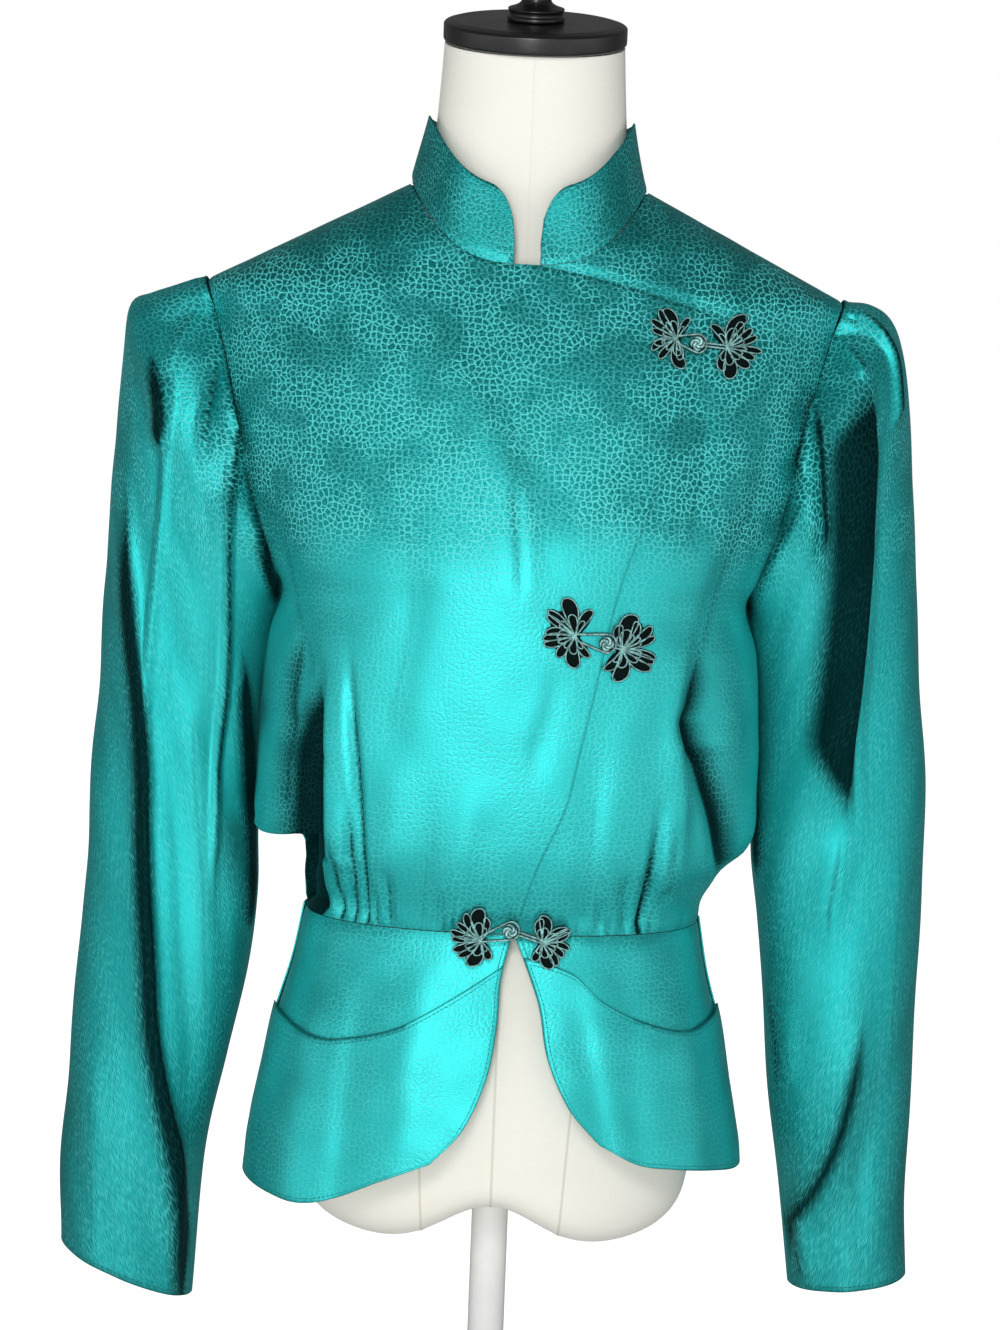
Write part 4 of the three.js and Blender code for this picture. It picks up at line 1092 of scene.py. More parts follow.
class Bundle:
    """Strands of cord, joined as one piece."""

    def __init__(self):
        self.vertices, self.faces, self.highlight_facing = [], [], []
        self.count = 0

    def add(self, vertices, faces, highlight_facing):
        self.vertices.append(vertices)
        self.faces.append(faces + self.count)
        self.highlight_facing.append(highlight_facing)
        self.count += len(vertices)

    def strand(self, path, half_width, half_height, closed, sides=8):
        """A cord along a path. Its section is an oval that stands out from the cloth."""
        if closed:
            tangent = unit(np.roll(path, -1, axis=0) - np.roll(path, 1, axis=0))
        else:
            tangent = unit(np.gradient(path, axis=0))
        out = np.array([0.0, -1.0, 0.0])
        out = unit(out - tangent * (tangent @ out)[:, None])
        across = np.cross(tangent, out)
        turn = np.linspace(0, 2 * math.pi, sides, endpoint=False)
        ring = (
            path[:, None]
            + across[:, None] * (half_width * np.cos(turn))[None, :, None]
            + out[:, None] * (half_height * np.sin(turn))[None, :, None]
        )
        rows = len(path)
        i = np.arange(rows if closed else rows - 1)[:, None]
        j = np.arange(sides)[None, :]
        here, there = i * sides, ((i + 1) % rows) * sides
        after = (j + 1) % sides
        faces = np.stack([here + j, here + after, there + after, there + j], axis=-1).reshape(-1, 4)
        vertices = ring.reshape(-1, 3)
        # how far each point faces out from the cloth; the cord's painted highlight is laid where this is high
        highlight_facing = np.broadcast_to(np.sin(turn), (rows, sides)).ravel()
        if not closed:
            caps = []
            for row, flip in ((0, True), (rows - 1, False)):
                for k in range(0, sides // 2 - 1):
                    quad = [row * sides + k, row * sides + k + 1,
                            row * sides + sides - k - 2, row * sides + sides - k - 1]
                    caps.append(quad[::-1] if flip else quad)
            faces = np.concatenate([faces, np.array(caps)])
        self.add(vertices, faces, highlight_facing)

    def build(self, name):
        return make_object(
            name,
            np.concatenate(self.vertices),
            np.concatenate(self.faces),
            tints={"highlight_facing": np.concatenate(self.highlight_facing)},
        )


def petal(turn, length, width, curl, points=36):
    """A closed teardrop loop in its own plane, from the middle of the frog outwards, with a curl."""
    t = np.linspace(0, 2 * math.pi, points, endpoint=False)
    along = length * (1 - np.cos(t)) / 2
    across = width / 2 * np.sin(t) * (0.25 + 0.75 * (along / length) ** 1.2) * 1.25
    way = turn + curl * (along / length) ** 2
    return along * np.cos(way) - across * np.sin(way), along * np.sin(way) + across * np.cos(way)


def frog_half(name, centre_x, centre_z, half_width, half_height, mirror, seed, sizes):
    """Half of a frog: looped petals of flat cord, standing on edge over a near-black ground that is painted
    shade.
    """
    chance = np.random.default_rng(seed)
    bundle = Bundle()
    hub_x = centre_x - mirror * half_width * 0.36
    hub_z = centre_z
    squeeze = half_width / (0.66 * half_height)

    def seat(x, z, lift):
        return np.stack([x, bridged_front(x, z, sizes.creases) - lift, z], axis=-1)

    reach = np.zeros(72)
    around = np.linspace(0, 2 * math.pi, len(reach), endpoint=False)
    for turn, length, width in zip(PETALS["turn"], PETALS["length"], PETALS["width"]):
        direction = math.radians(turn + chance.uniform(-5, 5))
        size = half_height * length * chance.uniform(0.88, 1.06)
        wide = half_height * width * chance.uniform(0.85, 1.15)
        curl = chance.uniform(-0.3, 0.3)
        for share in (1, INNER_SHARE):
            x, z = petal(direction, size * share, wide * share, curl * share)
            px = hub_x - mirror * x * squeeze
            pz = hub_z + z * 0.95
            lift = CORD_HEIGHT + 0.5 + (0.35 if share < 1 else 0) + chance.uniform(0, 0.5)
            bundle.strand(seat(px, pz, lift), CORD_WIDTH, CORD_HEIGHT, True)
        spread = np.angle(np.exp(1j * (around - direction - curl * 0.6)))
        reach = np.maximum(reach, size * 1.0 * np.exp(-((spread / (0.7 * wide / size + 0.22)) ** 2)))
    # From here, a near-black round ground piece under the petals: painted shade for the dark inside and
    # between the petals.
    reach = np.maximum(reach, half_height * (0.28 - 0.14 * np.cos(around)))
    shares = np.array([0.0, 0.5, 0.85, 1.0])[:, None]
    px = hub_x - mirror * (reach * np.cos(around) * shares) * squeeze
    pz = hub_z + reach * np.sin(around) * shares * 0.95
    upper = seat(px, pz, 1.0)
    lower = seat(px, pz, 0.2)
    disc = np.concatenate([upper.reshape(-1, 3), lower[::-1].reshape(-1, 3)])
    rows = len(shares) * 2
    i = np.arange(rows)[:, None]
    j = np.arange(len(reach))[None, :]
    after = (j + 1) % len(reach)
    here, there = i * len(reach), ((i + 1) % rows) * len(reach)
    faces = np.stack([here + j, here + after, there + after, there + j], axis=-1).reshape(-1, 4)
    bundle.add(disc, faces, np.full(len(disc), -1.0))
    return bundle.build(name)


def knot_path(centre, points=150):
    """The winding of a ball knot."""
    t = np.linspace(0, 2 * math.pi, points, endpoint=False)
    ring = 2.1 + 1.25 * np.cos(4 * t)
    return np.stack([
        centre[0] + ring * np.cos(3 * t),
        centre[1] + 1.5 * np.sin(4 * t),
        centre[2] + ring * np.sin(3 * t),
    ], axis=-1)


def frog_knot(name, x, z, toward_x, toward_z, sizes):
    """The ball knot, and the cord that ties it to its own half."""
    seat = float(bridged_front(np.array([x]), np.array([z]), sizes.creases)[0])
    centre = np.array([x, seat - KNOT_RADIUS, z])
    bundle = Bundle()
    bundle.strand(knot_path(centre), 1.2, 1.2, True)
    t = np.linspace(0.12, 1, 16)
    for off in (-0.9, 0.9):
        px = mix(x, toward_x, t)
        pz = mix(z, toward_z, t) + off
        lift = mix(3.2, 1.9, t)
        path = np.stack([px, bridged_front(px, pz, sizes.creases) - lift, pz], axis=-1)
        bundle.strand(path, 0.8, 1.0, False)
    return bundle.build(name)


def frog_loop(name, x, z, toward_x, toward_z, sizes):
    """The loop of cord round the knot, whose two ends run back to the other half."""
    bundle = Bundle()
    t = np.linspace(-1, 1, 60)
    reach = KNOT_RADIUS + 1.4
    wrap = t * math.pi * 0.72
    away = math.copysign(1, x - toward_x)
    ring_x = x + away * reach * np.cos(wrap) * 0.92
    ring_z = z + reach * np.sin(wrap) * 0.92
    back = smooth((np.abs(t) - 0.62) / 0.38)
    px = mix(ring_x, toward_x, back)
    pz = mix(ring_z, toward_z + 1.1 * np.sign(t), back)
    path = np.stack([px, bridged_front(px, pz, sizes.creases) - mix(2.4, 1.9, back), pz], axis=-1)
    bundle.strand(path, 0.85, 1.05, False)
    return bundle.build(name)


# ---------- Dress form and stand ----------


def form_ring(section, turn, grow=0):
    middle = (section["front"] + section["back"]) / 2
    deep = (section["back"] - section["front"]) / 2 + grow

    def bend(value):
        return np.sign(value) * np.abs(value) ** (2 / FORM_EXPONENT)

    y = middle - deep * bend(np.cos(turn))
    x = (section["half"] + grow) * bend(np.sin(turn))
    return np.stack([x, y, section["z"] + section["tip"] * (y - middle)], axis=-1)


def lobe_height(x, share):
    notch = 1 - FORM_NOTCH * np.exp(-((x / FORM_NOTCH_WIDTH) ** 2))
    return FORM["z"][0] - FORM_LOBE_DEPTH * notch * np.cbrt(1 - share**4)


FORM_SEAM_WIDTH = 1.1
FORM_SEAM_HEIGHT = 0.55
FORM_SHARE_OPEN = (0.02, 0.9, 34)  # rings of the underside: from the middle out
FORM_SHARE_RIM = (0.06, 0.98, 16)  # and closer together towards the rim


def seam_ridge(x, z):
    """Height of the form's raised seams: down the middle and to each side of it, before and behind."""
    ridge = np.exp(-((x / FORM_SEAM_WIDTH) ** 2))
    line = 52 + 16 * np.sin((z - 330) / 240) + 26 * smooth((z - 560) / 160)
    ridge += np.exp(-(((np.abs(x) - line) / FORM_SEAM_WIDTH) ** 2))
    return FORM_SEAM_HEIGHT * np.clip(ridge, 0, 1) * smooth((850 - z) / 20)


def form_body(step=5.0):
    turn = np.linspace(0, 2 * math.pi, 168, endpoint=False)[None, :]
    z = np.arange(FORM["z"][0], FORM["z"][-1], step)
    z = np.append(z, FORM["z"][-1])[:, None]
    section = {name: read(FORM, "z", z, name) for name in ("half", "front", "back", "tip")}
    section["z"] = z
    upper = form_ring(section, turn)
    base = upper[0]
    middle = (FORM["front"][0] + FORM["back"][0]) / 2
    rim = 1 - 0.1 * (1 - np.linspace(*FORM_SHARE_RIM)) ** 2
    share = np.append(np.linspace(*FORM_SHARE_OPEN), rim)
    share = share[:, None]
    x = base[None, :, 0] * share
    y = middle + (base[None, :, 1] - middle) * share
    lower = np.stack([x, y, lobe_height(x, share)], axis=-1)
    grid = np.concatenate([lower, upper])
    out = normals(grid, closed=True)
    grid = grid + out * seam_ridge(grid[..., 0], grid[..., 2])[..., None]
    return capped(grid, "form_cover")


def capped(grid, name, sharp=40):
    """Closes a grid of rings with a fan at both ends and makes an object of it."""
    rows, columns = grid.shape[:2]
    index = np.arange(rows * columns).reshape(rows, columns)
    after = np.roll(index, -1, axis=1)
    quads = np.stack([index[:-1], after[:-1], after[1:], index[1:]], axis=-1).reshape(-1, 4)
    points = np.concatenate([grid.reshape(-1, 3), grid[0].mean(0)[None], grid[-1].mean(0)[None]])
    low, high = rows * columns, rows * columns + 1
    foot = np.stack([index[0], np.full(columns, low), np.full(columns, low), after[0]], axis=-1)
    head = np.stack([after[-1], np.full(columns, high), np.full(columns, high), index[-1]], axis=-1)
    faces = [*quads.tolist(), *[[q[0], q[1], q[3]] for q in foot.tolist()]]
    faces += [[q[0], q[1], q[3]] for q in head.tolist()]
    mesh = bpy.data.meshes.new(name)
    mesh.from_pydata((points * MM).tolist(), [], faces)
    sign = signed_volume(points, quads)
    if sign < 0:
        mesh.flip_normals()
    mesh.shade_smooth()
    mesh.set_sharp_from_angle(angle=math.radians(sharp))
    mesh.update()
    piece = bpy.data.objects.new(name, mesh)
    bpy.context.scene.collection.objects.link(piece)
    return piece


def rounded(profile, radius=1.0, steps=5):
    """Rounds the corners of a turned piece's outline, given as radius and height."""
    points = [np.array(p, float) for p in profile]
    outline = [points[0]]
    for before, corner, after in zip(points, points[1:], points[2:]):
        to_before, to_after = before - corner, after - corner
        size = min(radius, np.linalg.norm(to_before) * 0.45, np.linalg.norm(to_after) * 0.45)
        start = corner + unit(to_before) * size
        end = corner + unit(to_after) * size
        for t in np.linspace(0, 1, steps):
            outline.append((1 - t) ** 2 * start + 2 * t * (1 - t) * corner + t**2 * end)
    outline.append(points[-1])
    return np.array(outline)


def turned(name, profile, radius=1.0, sides=128, place=None):
    """A turned piece on the z axis, or moved by a matrix in millimetres."""
    outline = rounded(profile, radius)
    turn = np.linspace(0, 2 * math.pi, sides, endpoint=False)[None, :]
    grid = np.stack([
        outline[:, :1] * np.cos(turn),
        outline[:, :1] * np.sin(turn),
        np.broadcast_to(outline[:, 1:], (len(outline), sides)),
    ], axis=-1)
    if place is not None:
        matrix = np.array(place)
        grid = grid @ matrix[:3, :3].T + matrix[:3, 3]
    return capped(grid, name, sharp=60)


def neck_place():
    return Matrix.Translation((0, NECK_CAP["y"], NECK_CAP["z"])) @ Matrix.Rotation(
        math.radians(NECK_CAP["tilt"]), 4, "X"
    )


# ---------- Materials ----------


class Wire:
    """A shader socket that takes part in sums."""

    def __init__(self, graph, socket):
        self.graph = graph
        self.socket = socket

    def __add__(self, other):
        return self.graph.math("ADD", self, other)

    __radd__ = __add__

    def __mul__(self, other):
        return self.graph.math("MULTIPLY", self, other)

    __rmul__ = __mul__

    def __sub__(self, other):
        return self.graph.math("SUBTRACT", self, other)

    def __rsub__(self, other):
        return self.graph.math("SUBTRACT", other, self)

    def __truediv__(self, other):
        return self.graph.math("DIVIDE", self, other)

    def between(self, low, high):
        """Rises smoothly from 0 at the low value to 1 at the high one."""
        return self.graph.node(
            "ShaderNodeMapRange",
            {"interpolation_type": "SMOOTHSTEP"},
            {"Value": self, "From Min": low, "From Max": high},
            "Result",
        )


class Graph:
    """A node tree, written as sums of its sockets."""

    def __init__(self, tree):
        self.tree = tree

    def node(self, kind, settings=None, inputs=None, output=0):
        """Adds a node, sets it, fills its sockets and returns one of its outputs."""
        node = self.tree.nodes.new(kind)
        for key, value in (settings or {}).items():
            setattr(node, key, value)
        for key, value in (inputs or {}).items():
            self.fill(node.inputs[key], value)
        return Wire(self, node.outputs[output])

    def fill(self, socket, value):
        if isinstance(value, Wire):
            self.tree.links.new(value.socket, socket)
        elif hasattr(value, "__len__") and len(socket.default_value) == 4 and len(value) == 3:
            socket.default_value = (*value, 1)
        else:
            socket.default_value = value

    def math(self, operation, *values):
        return self.node("ShaderNodeMath", {"operation": operation}, dict(enumerate(values)))

    def blend(self, share, first, second):
        """Mixes two colours."""
        return self.node(
            "ShaderNodeMix", {"data_type": "RGBA"}, {0: share, 6: first, 7: second}, 2
        )

    def noise(self, where, scale, detail=2, dimensions="3D", rough=0.5):
        return self.node(
            "ShaderNodeTexNoise",
            {"noise_dimensions": dimensions},
            {"Vector": where, "Scale": scale, "Detail": detail, "Roughness": rough},
            "Fac",
        )

    def split(self, where):
        """The three parts of a vector."""
        parts = self.tree.nodes.new("ShaderNodeSeparateXYZ")
        self.fill(parts.inputs[0], where)
        return [Wire(self, output) for output in parts.outputs]

    def scaled(self, where, factors):
        return self.node("ShaderNodeVectorMath", {"operation": "MULTIPLY"}, {0: where, 1: factors})

    def bump(self, height, distance, strength=1, normal=None):
        inputs = {"Height": height, "Distance": distance, "Strength": strength}
        if normal is not None:
            inputs["Normal"] = normal
        return self.node("ShaderNodeBump", None, inputs)



class Coat(Graph):
    """The node tree of one material, with a Principled shader."""

    def __init__(self, name, **constants):
        self.material = bpy.data.materials.new(name)
        self.material.use_nodes = True
        super().__init__(self.material.node_tree)
        self.shader = self.tree.nodes["Principled BSDF"]
        self.finish(**constants)

    def finish(self, **values):
        """Sets or links the shader's sockets, their names in lower case."""
        for socket, value in values.items():
            name = socket.replace("_", " ").title().replace("Ior", "IOR")
            self.fill(self.shader.inputs[name], value)
        return self.material


# Heights, and distances from the middle, in metres, between which the cloth's tone changes
CHEST = (0.515, 0.56)  # above it the net shows most and the ground gets painted shade, as the chest tilts up away from the light
CHEST_WANDER = 0.06  # how much that border rises and falls
COLLAR = (0.7, 0.72)  # above it the net is fainter
CUFFS = (0.14, 0.36)  # below it the sleeves get painted shade
SLEEVE_SIDE = (0.165, 0.2)  # the body ends and the sleeves begin


def woven_cells(graph, flat, sizes):
    """Distance to the edge of the nearest pebble of the woven pattern, in shares of its size."""
    wobble = graph.node(
        "ShaderNodeTexNoise", {"noise_dimensions": "2D"}, {"Vector": flat, "Scale": 130, "Detail": 1}, "Color"
    )
    shift = graph.node(
        "ShaderNodeVectorMath", {"operation": "SUBTRACT"}, {0: wobble, 1: (0.5, 0.5, 0.5)}
    )
    moved = graph.node(
        "ShaderNodeVectorMath", {"operation": "MULTIPLY_ADD"}, {0: shift, 1: (0.0026, 0.0026, 0), 2: flat}
    )
    return graph.node(
        "ShaderNodeTexVoronoi",
        {"feature": "DISTANCE_TO_EDGE", "voronoi_dimensions": "2D"},
        {"Vector": moved, "Scale": 1 / (sizes.pebble * MM), "Randomness": 0.8},
        "Distance",
    )


def topstitch(graph, sizes):
    """Along the finished edges: the sewn line, its stitches, the holes between them, and the rim."""
    run, edge, _ = graph.split(graph.node("ShaderNodeUVMap", {"uv_map": "trim"}))
    line = 1 - graph.math("ABSOLUTE", edge - sizes.stitch_inset).between(0.1, 0.42)
    phase = graph.math("FRACT", run / sizes.stitch_length)
    dash = 1 - graph.math("ABSOLUTE", phase - 0.5).between(0.33, 0.4)
    return line, line * dash, line * (1 - dash), 1 - edge.between(0.2, 1.1)


def satin(name, colours, sizes):
    """Teal satin with a woven pebble pattern: glossy cells in a net of duller threads."""
    graph = Coat(
        name, specular_ior_level=0.2, sheen_weight=0.06, sheen_roughness=0.4,
        sheen_tint=(*colours.satin_painted_light, 1),
    )
    flat = graph.node("ShaderNodeUVMap", {"uv_map": "cloth"})
    cell = woven_cells(graph, flat, sizes)
    net = 1 - cell.between(0.05, 0.18)
    patches = graph.noise(flat, 30, 2, "2D").between(0.36, 0.56)
    fine = graph.noise(graph.scaled(flat, (0.45, 1, 1)), 1100, 2, "2D")
    threads = graph.noise(graph.scaled(flat, (1, 0.08, 1)), 900, 1, "2D")
    place = graph.node("ShaderNodeTexCoord", None, None, "Object")
    aside, _, height = graph.split(place)
    outer = graph.math("ABSOLUTE", aside).between(*SLEEVE_SIDE)
    wander = (graph.noise(flat, 9, 2, "2D") - 0.5) * CHEST_WANDER
    upper = (height + wander).between(*CHEST)
    foot = 1 - height.between(*CUFFS)
    # painted shade from the creases, gathers and seams, read from the mesh
    painted_shade = graph.node("ShaderNodeAttribute", {"attribute_name": "painted_shade"}, None, "Fac")
    dark = painted_shade.between(0, 0.8)
    # the light net is painted stronger over the upper chest's painted shade and in the creases, where it
    # stands out light against the dark
    net_shown_in_shade = graph.math("MAXIMUM", upper * (1 - outer * 0.55), dark)
    faint = 1 - height.between(*COLLAR) * 0.5
    broken = 0.6 + fine.between(0.35, 0.65) * 0.4
    pattern = net * (0.4 + 0.6 * patches) * (0.34 + 0.66 * net_shown_in_shade) * broken * faint
    cloud = graph.noise(flat, 14, 2, "2D").between(0.3, 0.7) * (0.25 + 0.75 * upper)
    ground = graph.blend(cloud, colours.satin, colours.satin_rich)
    # Painted shade over the upper chest, painted light over the body below it, and painted shade on the
    # sleeves towards the cuffs.
    ground = graph.blend(upper * 0.55 * (1 - outer), ground, colours.satin_stitch_and_shade)
    ground = graph.blend((1 - upper) * 0.5 * (1 - outer), ground, colours.satin_painted_light)
    ground = graph.blend(foot * outer * 0.45, ground, colours.satin_stitch_and_shade)
    # The fine grain of the threads is lightened towards the painted-light colour: painted glints.
    fine_glints = graph.blend(fine.between(0.4, 0.7) * 0.5, ground, colours.satin_painted_light)
    # painted shade: creases, gathers and seams darkened almost to black
    colour = graph.blend(dark * 0.98, fine_glints, colours.satin_crease_shade)
    colour = graph.blend(pattern * (0.92 - dark * dark * 0.85), colour, colours.satin_net)
    metal = 0.82 - pattern * (1 - dark) * 0.7 + dark * 0.2
    rough = 0.47 + pattern * 0.2 + (fine - 0.5) * 0.2 + dark * 0.2
    bumps = cell.between(0, 0.3) * patches * 0.35 + threads * 0.3 + fine * 0.6
    line, stitch, holes, rim = topstitch(graph, sizes)
    colour = graph.blend(holes * 0.7 + stitch * 0.35, colour, colours.satin_stitch_and_shade)
    # painted shade along the rolled edge, where it turns away
    colour = graph.blend(rim * 0.45, colour, colours.satin_stitch_and_shade)
    metal = metal * (1 - line * 0.6)
    bumps = bumps + stitch * 1.6 - line * 1.4
    normal = graph.bump(bumps, 0.00018)
    return graph.finish(base_color=colour, metallic=metal, roughness=rough, normal=normal)


def corded(name, colours):
    """Satin cord with painted light: near-black flanks of painted shade, and a light top edge painted as a
    highlight where the folded edge would catch the light.
    """
    graph = Coat(name, specular_ior_level=0.12)
    highlight_facing = graph.node("ShaderNodeAttribute", {"attribute_name": "highlight_facing"}, None, "Fac")
    place = graph.node("ShaderNodeTexCoord", None, None, "Object")
    thread = graph.noise(place, 2600, 2)
    patchy = graph.noise(place, 420, 2).between(0.35, 0.62)
    # painted highlight along the cord's top edge, and painted shade on its flanks where it is low
    lit = highlight_facing.between(0.6, 0.97) * (0.45 + 0.55 * patchy)
    colour = graph.blend(lit, colours.cord, colours.cord_painted_highlight)
    colour = graph.blend(thread.between(0.4, 0.7) * 0.25, colour, colours.cord)
    rough = 0.75 - lit * 0.35 + thread * 0.2
    return graph.finish(
        base_color=colour, metallic=lit * 0.3, roughness=rough, normal=graph.bump(thread, 0.00012)
    )


def linen(name, colours):
    """Cream cloth drawn tight over the form."""
    graph = Coat(name, specular_ior_level=0.25, sheen_weight=0.2, sheen_roughness=0.5)
    place = graph.node("ShaderNodeTexCoord", None, None, "Object")
    warp = graph.noise(graph.scaled(place, (1, 1, 0.08)), 1700, 2)
    weft = graph.noise(graph.scaled(place, (0.1, 0.1, 1)), 1700, 2)
    weave = warp * 0.5 + weft * 0.5
    cloud = graph.noise(place, 12, 3).between(0.35, 0.7)
    colour = graph.blend(cloud * 0.5, colours.linen, colours.linen_shade)
    colour = graph.blend(weave.between(0.45, 0.7) * 0.3, colour, colours.linen_shade)
    across, _, height = graph.split(place)
    aside = graph.math("ABSOLUTE", across)
    bend = graph.math("SINE", (height - 0.33) / 0.24)
    shaped = graph.math("ABSOLUTE", aside - (bend * 0.016 + 0.052))
    near = graph.math("MINIMUM", aside, shaped)
    low = 1 - height.between(0.35, 0.6) * 0.8
    colour = graph.blend((1 - near.between(0.0003, 0.0011)) * low * 0.45, colour, colours.linen_seam)
    return graph.finish(
        base_color=colour, roughness=0.78 + weave * 0.12, normal=graph.bump(weave, 0.00025)
    )


def painted(name, colour, worn, roughness):
    """Satin paint on metal or wood, with faint mottling and dusty patches."""
    graph = Coat(name, coat_weight=0.15, coat_roughness=0.25)
    place = graph.node("ShaderNodeTexCoord", None, None, "Object")
    peel = graph.noise(place, 420, 2)
    dust = graph.noise(place, 60, 4).between(0.5, 0.8)
    shade = graph.blend(dust * 0.35, colour, worn)
    return graph.finish(
        base_color=shade, roughness=roughness + peel * 0.1 + dust * 0.12, normal=graph.bump(peel, 0.00006)
    )


# ---------- Settings ----------


def length(name, text, default, low, high):
    """A length in millimetres."""
    return FloatProperty(name=name, description=text, default=default, min=low, max=high)


def paint(name, text, default):
    return FloatVectorProperty(
        name=name, description=text, default=default, subtype="COLOR", size=3, min=0, max=1
    )


class BlouseSizes(bpy.types.PropertyGroup):
    """Sizes that change how the cloth is made up, in millimetres."""

    wall: length("Cloth", "Thickness of the cloth, in millimetres", 0.9, 0.3, 1.2)
    step: length("Grid step", "Distance between the cloth's upright grid lines, in millimetres", 1.5, 1, 8)
    row: length("Grid row", "Distance between the sleeves' rings, in millimetres", 3.1, 2, 12)
    seam_gap: length("Seam gap", "Space between two panels at a seam, in millimetres", 0.12, 0.05, 0.4)
    pebble: length("Pebble", "Size of one cell of the woven pattern, in millimetres", 3.5, 1.5, 8)
    stitch_inset: length("Stitch inset", "From the edge to the topstitching, in millimetres", 2.6, 1, 8)
    stitch_length: length("Stitch length", "From one topstitch to the next, in millimetres", 2.7, 1, 6)
    creases: FloatProperty(
        name="Creases", description="Share of the full depth of the folds", default=1.0, min=0, max=1.2,
        subtype="FACTOR",
    )


class BlouseColours(bpy.types.PropertyGroup):
    """Colours of the cloth, the cord, the form and its stand."""

    satin: paint("Satin", "Glossy cells of the satin", (0.011, 0.43, 0.43))
    satin_rich: paint("Satin, rich", "Deeper clouds of the satin", (0.009, 0.37, 0.37))
    # Painted light: lightens the body below the chest and the fine glints; it also tints the sheen.
    satin_painted_light: paint("Satin, light", "Lit threads of the satin", (0.05, 0.66, 0.65))
    satin_net: paint("Satin net", "Duller net between the cells", (0.13, 0.82, 0.81))
    # Stitch holes, and painted shade on the rolled edges, the upper chest and the lower sleeves.
    satin_stitch_and_shade: paint("Satin, deep", "Stitch holes, rolled edges, dark cloth", (0.004, 0.09, 0.09))
    # painted shade at the bottoms of the folds and gathers and along the seams
    satin_crease_shade: paint("Satin, hollow", "Bottoms of the deep folds", (0.001, 0.016, 0.018))
    # Painted shade: the near-black flanks of the cord.
    cord: paint("Cord", "Flanks of the frogs' cord", (0.001, 0.006, 0.006))
    # Painted highlight on the cord's top edge.
    cord_painted_highlight: paint("Cord, light", "Crown of the frogs' cord", (0.50, 0.95, 0.92))
    linen: paint("Linen", "Cover of the dress form", (0.97, 0.95, 0.87))
    linen_shade: paint("Linen, shade", "Shaded threads of the cover", (0.93, 0.89, 0.78))
    linen_seam: paint("Linen, seam", "Sunken seams of the cover", (0.55, 0.5, 0.4))
    black: paint("Black", "Neck cap and finial", (0.006, 0.006, 0.007))
    black_worn: paint("Black, worn", "Dusty patches on the black paint", (0.03, 0.03, 0.032))
    pale: paint("Pale", "Pole and foot", (0.86, 0.86, 0.84))
    pale_worn: paint("Pale, worn", "Mottling of the pale paint", (0.74, 0.74, 0.72))


def sizes_of(context):
    return context.scene.blouse_sizes


def colours_of(context):
    return context.scene.blouse_colours


def shared(name, make):
    """The material of that name, made once."""
    return bpy.data.materials.get(name) or make()


def satin_of(context):
    return shared("jacquard_satin", lambda: satin("jacquard_satin", colours_of(context), sizes_of(context)))


def dress(piece, material, slot, *nodes):
    """Gives a piece its material, and lets it ride and stand for its CAD nodes. The slot is not used."""
    piece.data.materials.clear()
    piece.data.materials.append(material)
    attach(piece, "root")
    if nodes:
        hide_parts(*nodes)
    return piece


# ---------- Operators ----------


class MakerOperator:
    """What the operators share."""

    bl_options = {"REGISTER", "UNDO"}


class BLOUSE_OT_bodice(MakerOperator, bpy.types.Operator):
    """Makes the over front, the under front and the back"""

    bl_idname = "blouse.bodice"
    bl_label = "Bodice"

    def execute(self, context):
        sizes = sizes_of(context)
        cloth = satin_of(context)
        over = over_front(sizes).build("over_front_cloth", sizes.wall, ("last", "top"))
        dress(over, cloth, "satin", "front_right")
        under = under_front(sizes).build("under_front_cloth", sizes.wall, ("first",))
        dress(under, cloth, "satin", "front_left")
        back = back_panel(sizes).build("back_cloth", sizes.wall)
        dress(back, cloth, "satin", "back")
        return {"FINISHED"}


class BLOUSE_OT_collar(MakerOperator, bpy.types.Operator):
    """Makes the standing collar"""

    bl_idname = "blouse.collar"
    bl_label = "Collar"

    def execute(self, context):
        sizes = sizes_of(context)
        piece = collar_sheet(sizes).build("collar_cloth", sizes.wall, ("top", "first", "last"))
        dress(piece, satin_of(context), "satin", "collar")
        return {"FINISHED"}


class BLOUSE_OT_sleeves(MakerOperator, bpy.types.Operator):
    """Makes the two gathered sleeves"""

    bl_idname = "blouse.sleeves"
    bl_label = "Sleeves"

    def execute(self, context):
        sizes = sizes_of(context)
        for name in SLEEVES:
            piece = sleeve_sheet(name, sizes).build(f"sleeve_{name}_cloth", sizes.wall, ("foot",))
            dress(piece, satin_of(context), "satin", f"sleeve_{name}")
        return {"FINISHED"}


class BLOUSE_OT_peplum(MakerOperator, bpy.types.Operator):
    """Makes the peplum's fronts, pocket panels and back"""

    bl_idname = "blouse.peplum"
    bl_label = "Peplum"

    def execute(self, context):
        sizes = sizes_of(context)
        cloth = satin_of(context)
        for name in PEPLUM_FRONTS:
            piece = peplum_front(name, sizes).build(f"peplum_{name}_cloth", sizes.wall, ("first", "foot"))
            dress(piece, cloth, "satin", f"peplum_{name}")
            piece = pocket_panel(name, sizes).build(
                f"pocket_{name}_cloth", sizes.wall, ("first", "foot", "top")
            )
            dress(piece, cloth, "satin", f"pocket_{name}")
        piece = peplum_back(sizes).build("peplum_back_cloth", sizes.wall, ("foot",))
        dress(piece, cloth, "satin", "peplum_back")
        return {"FINISHED"}


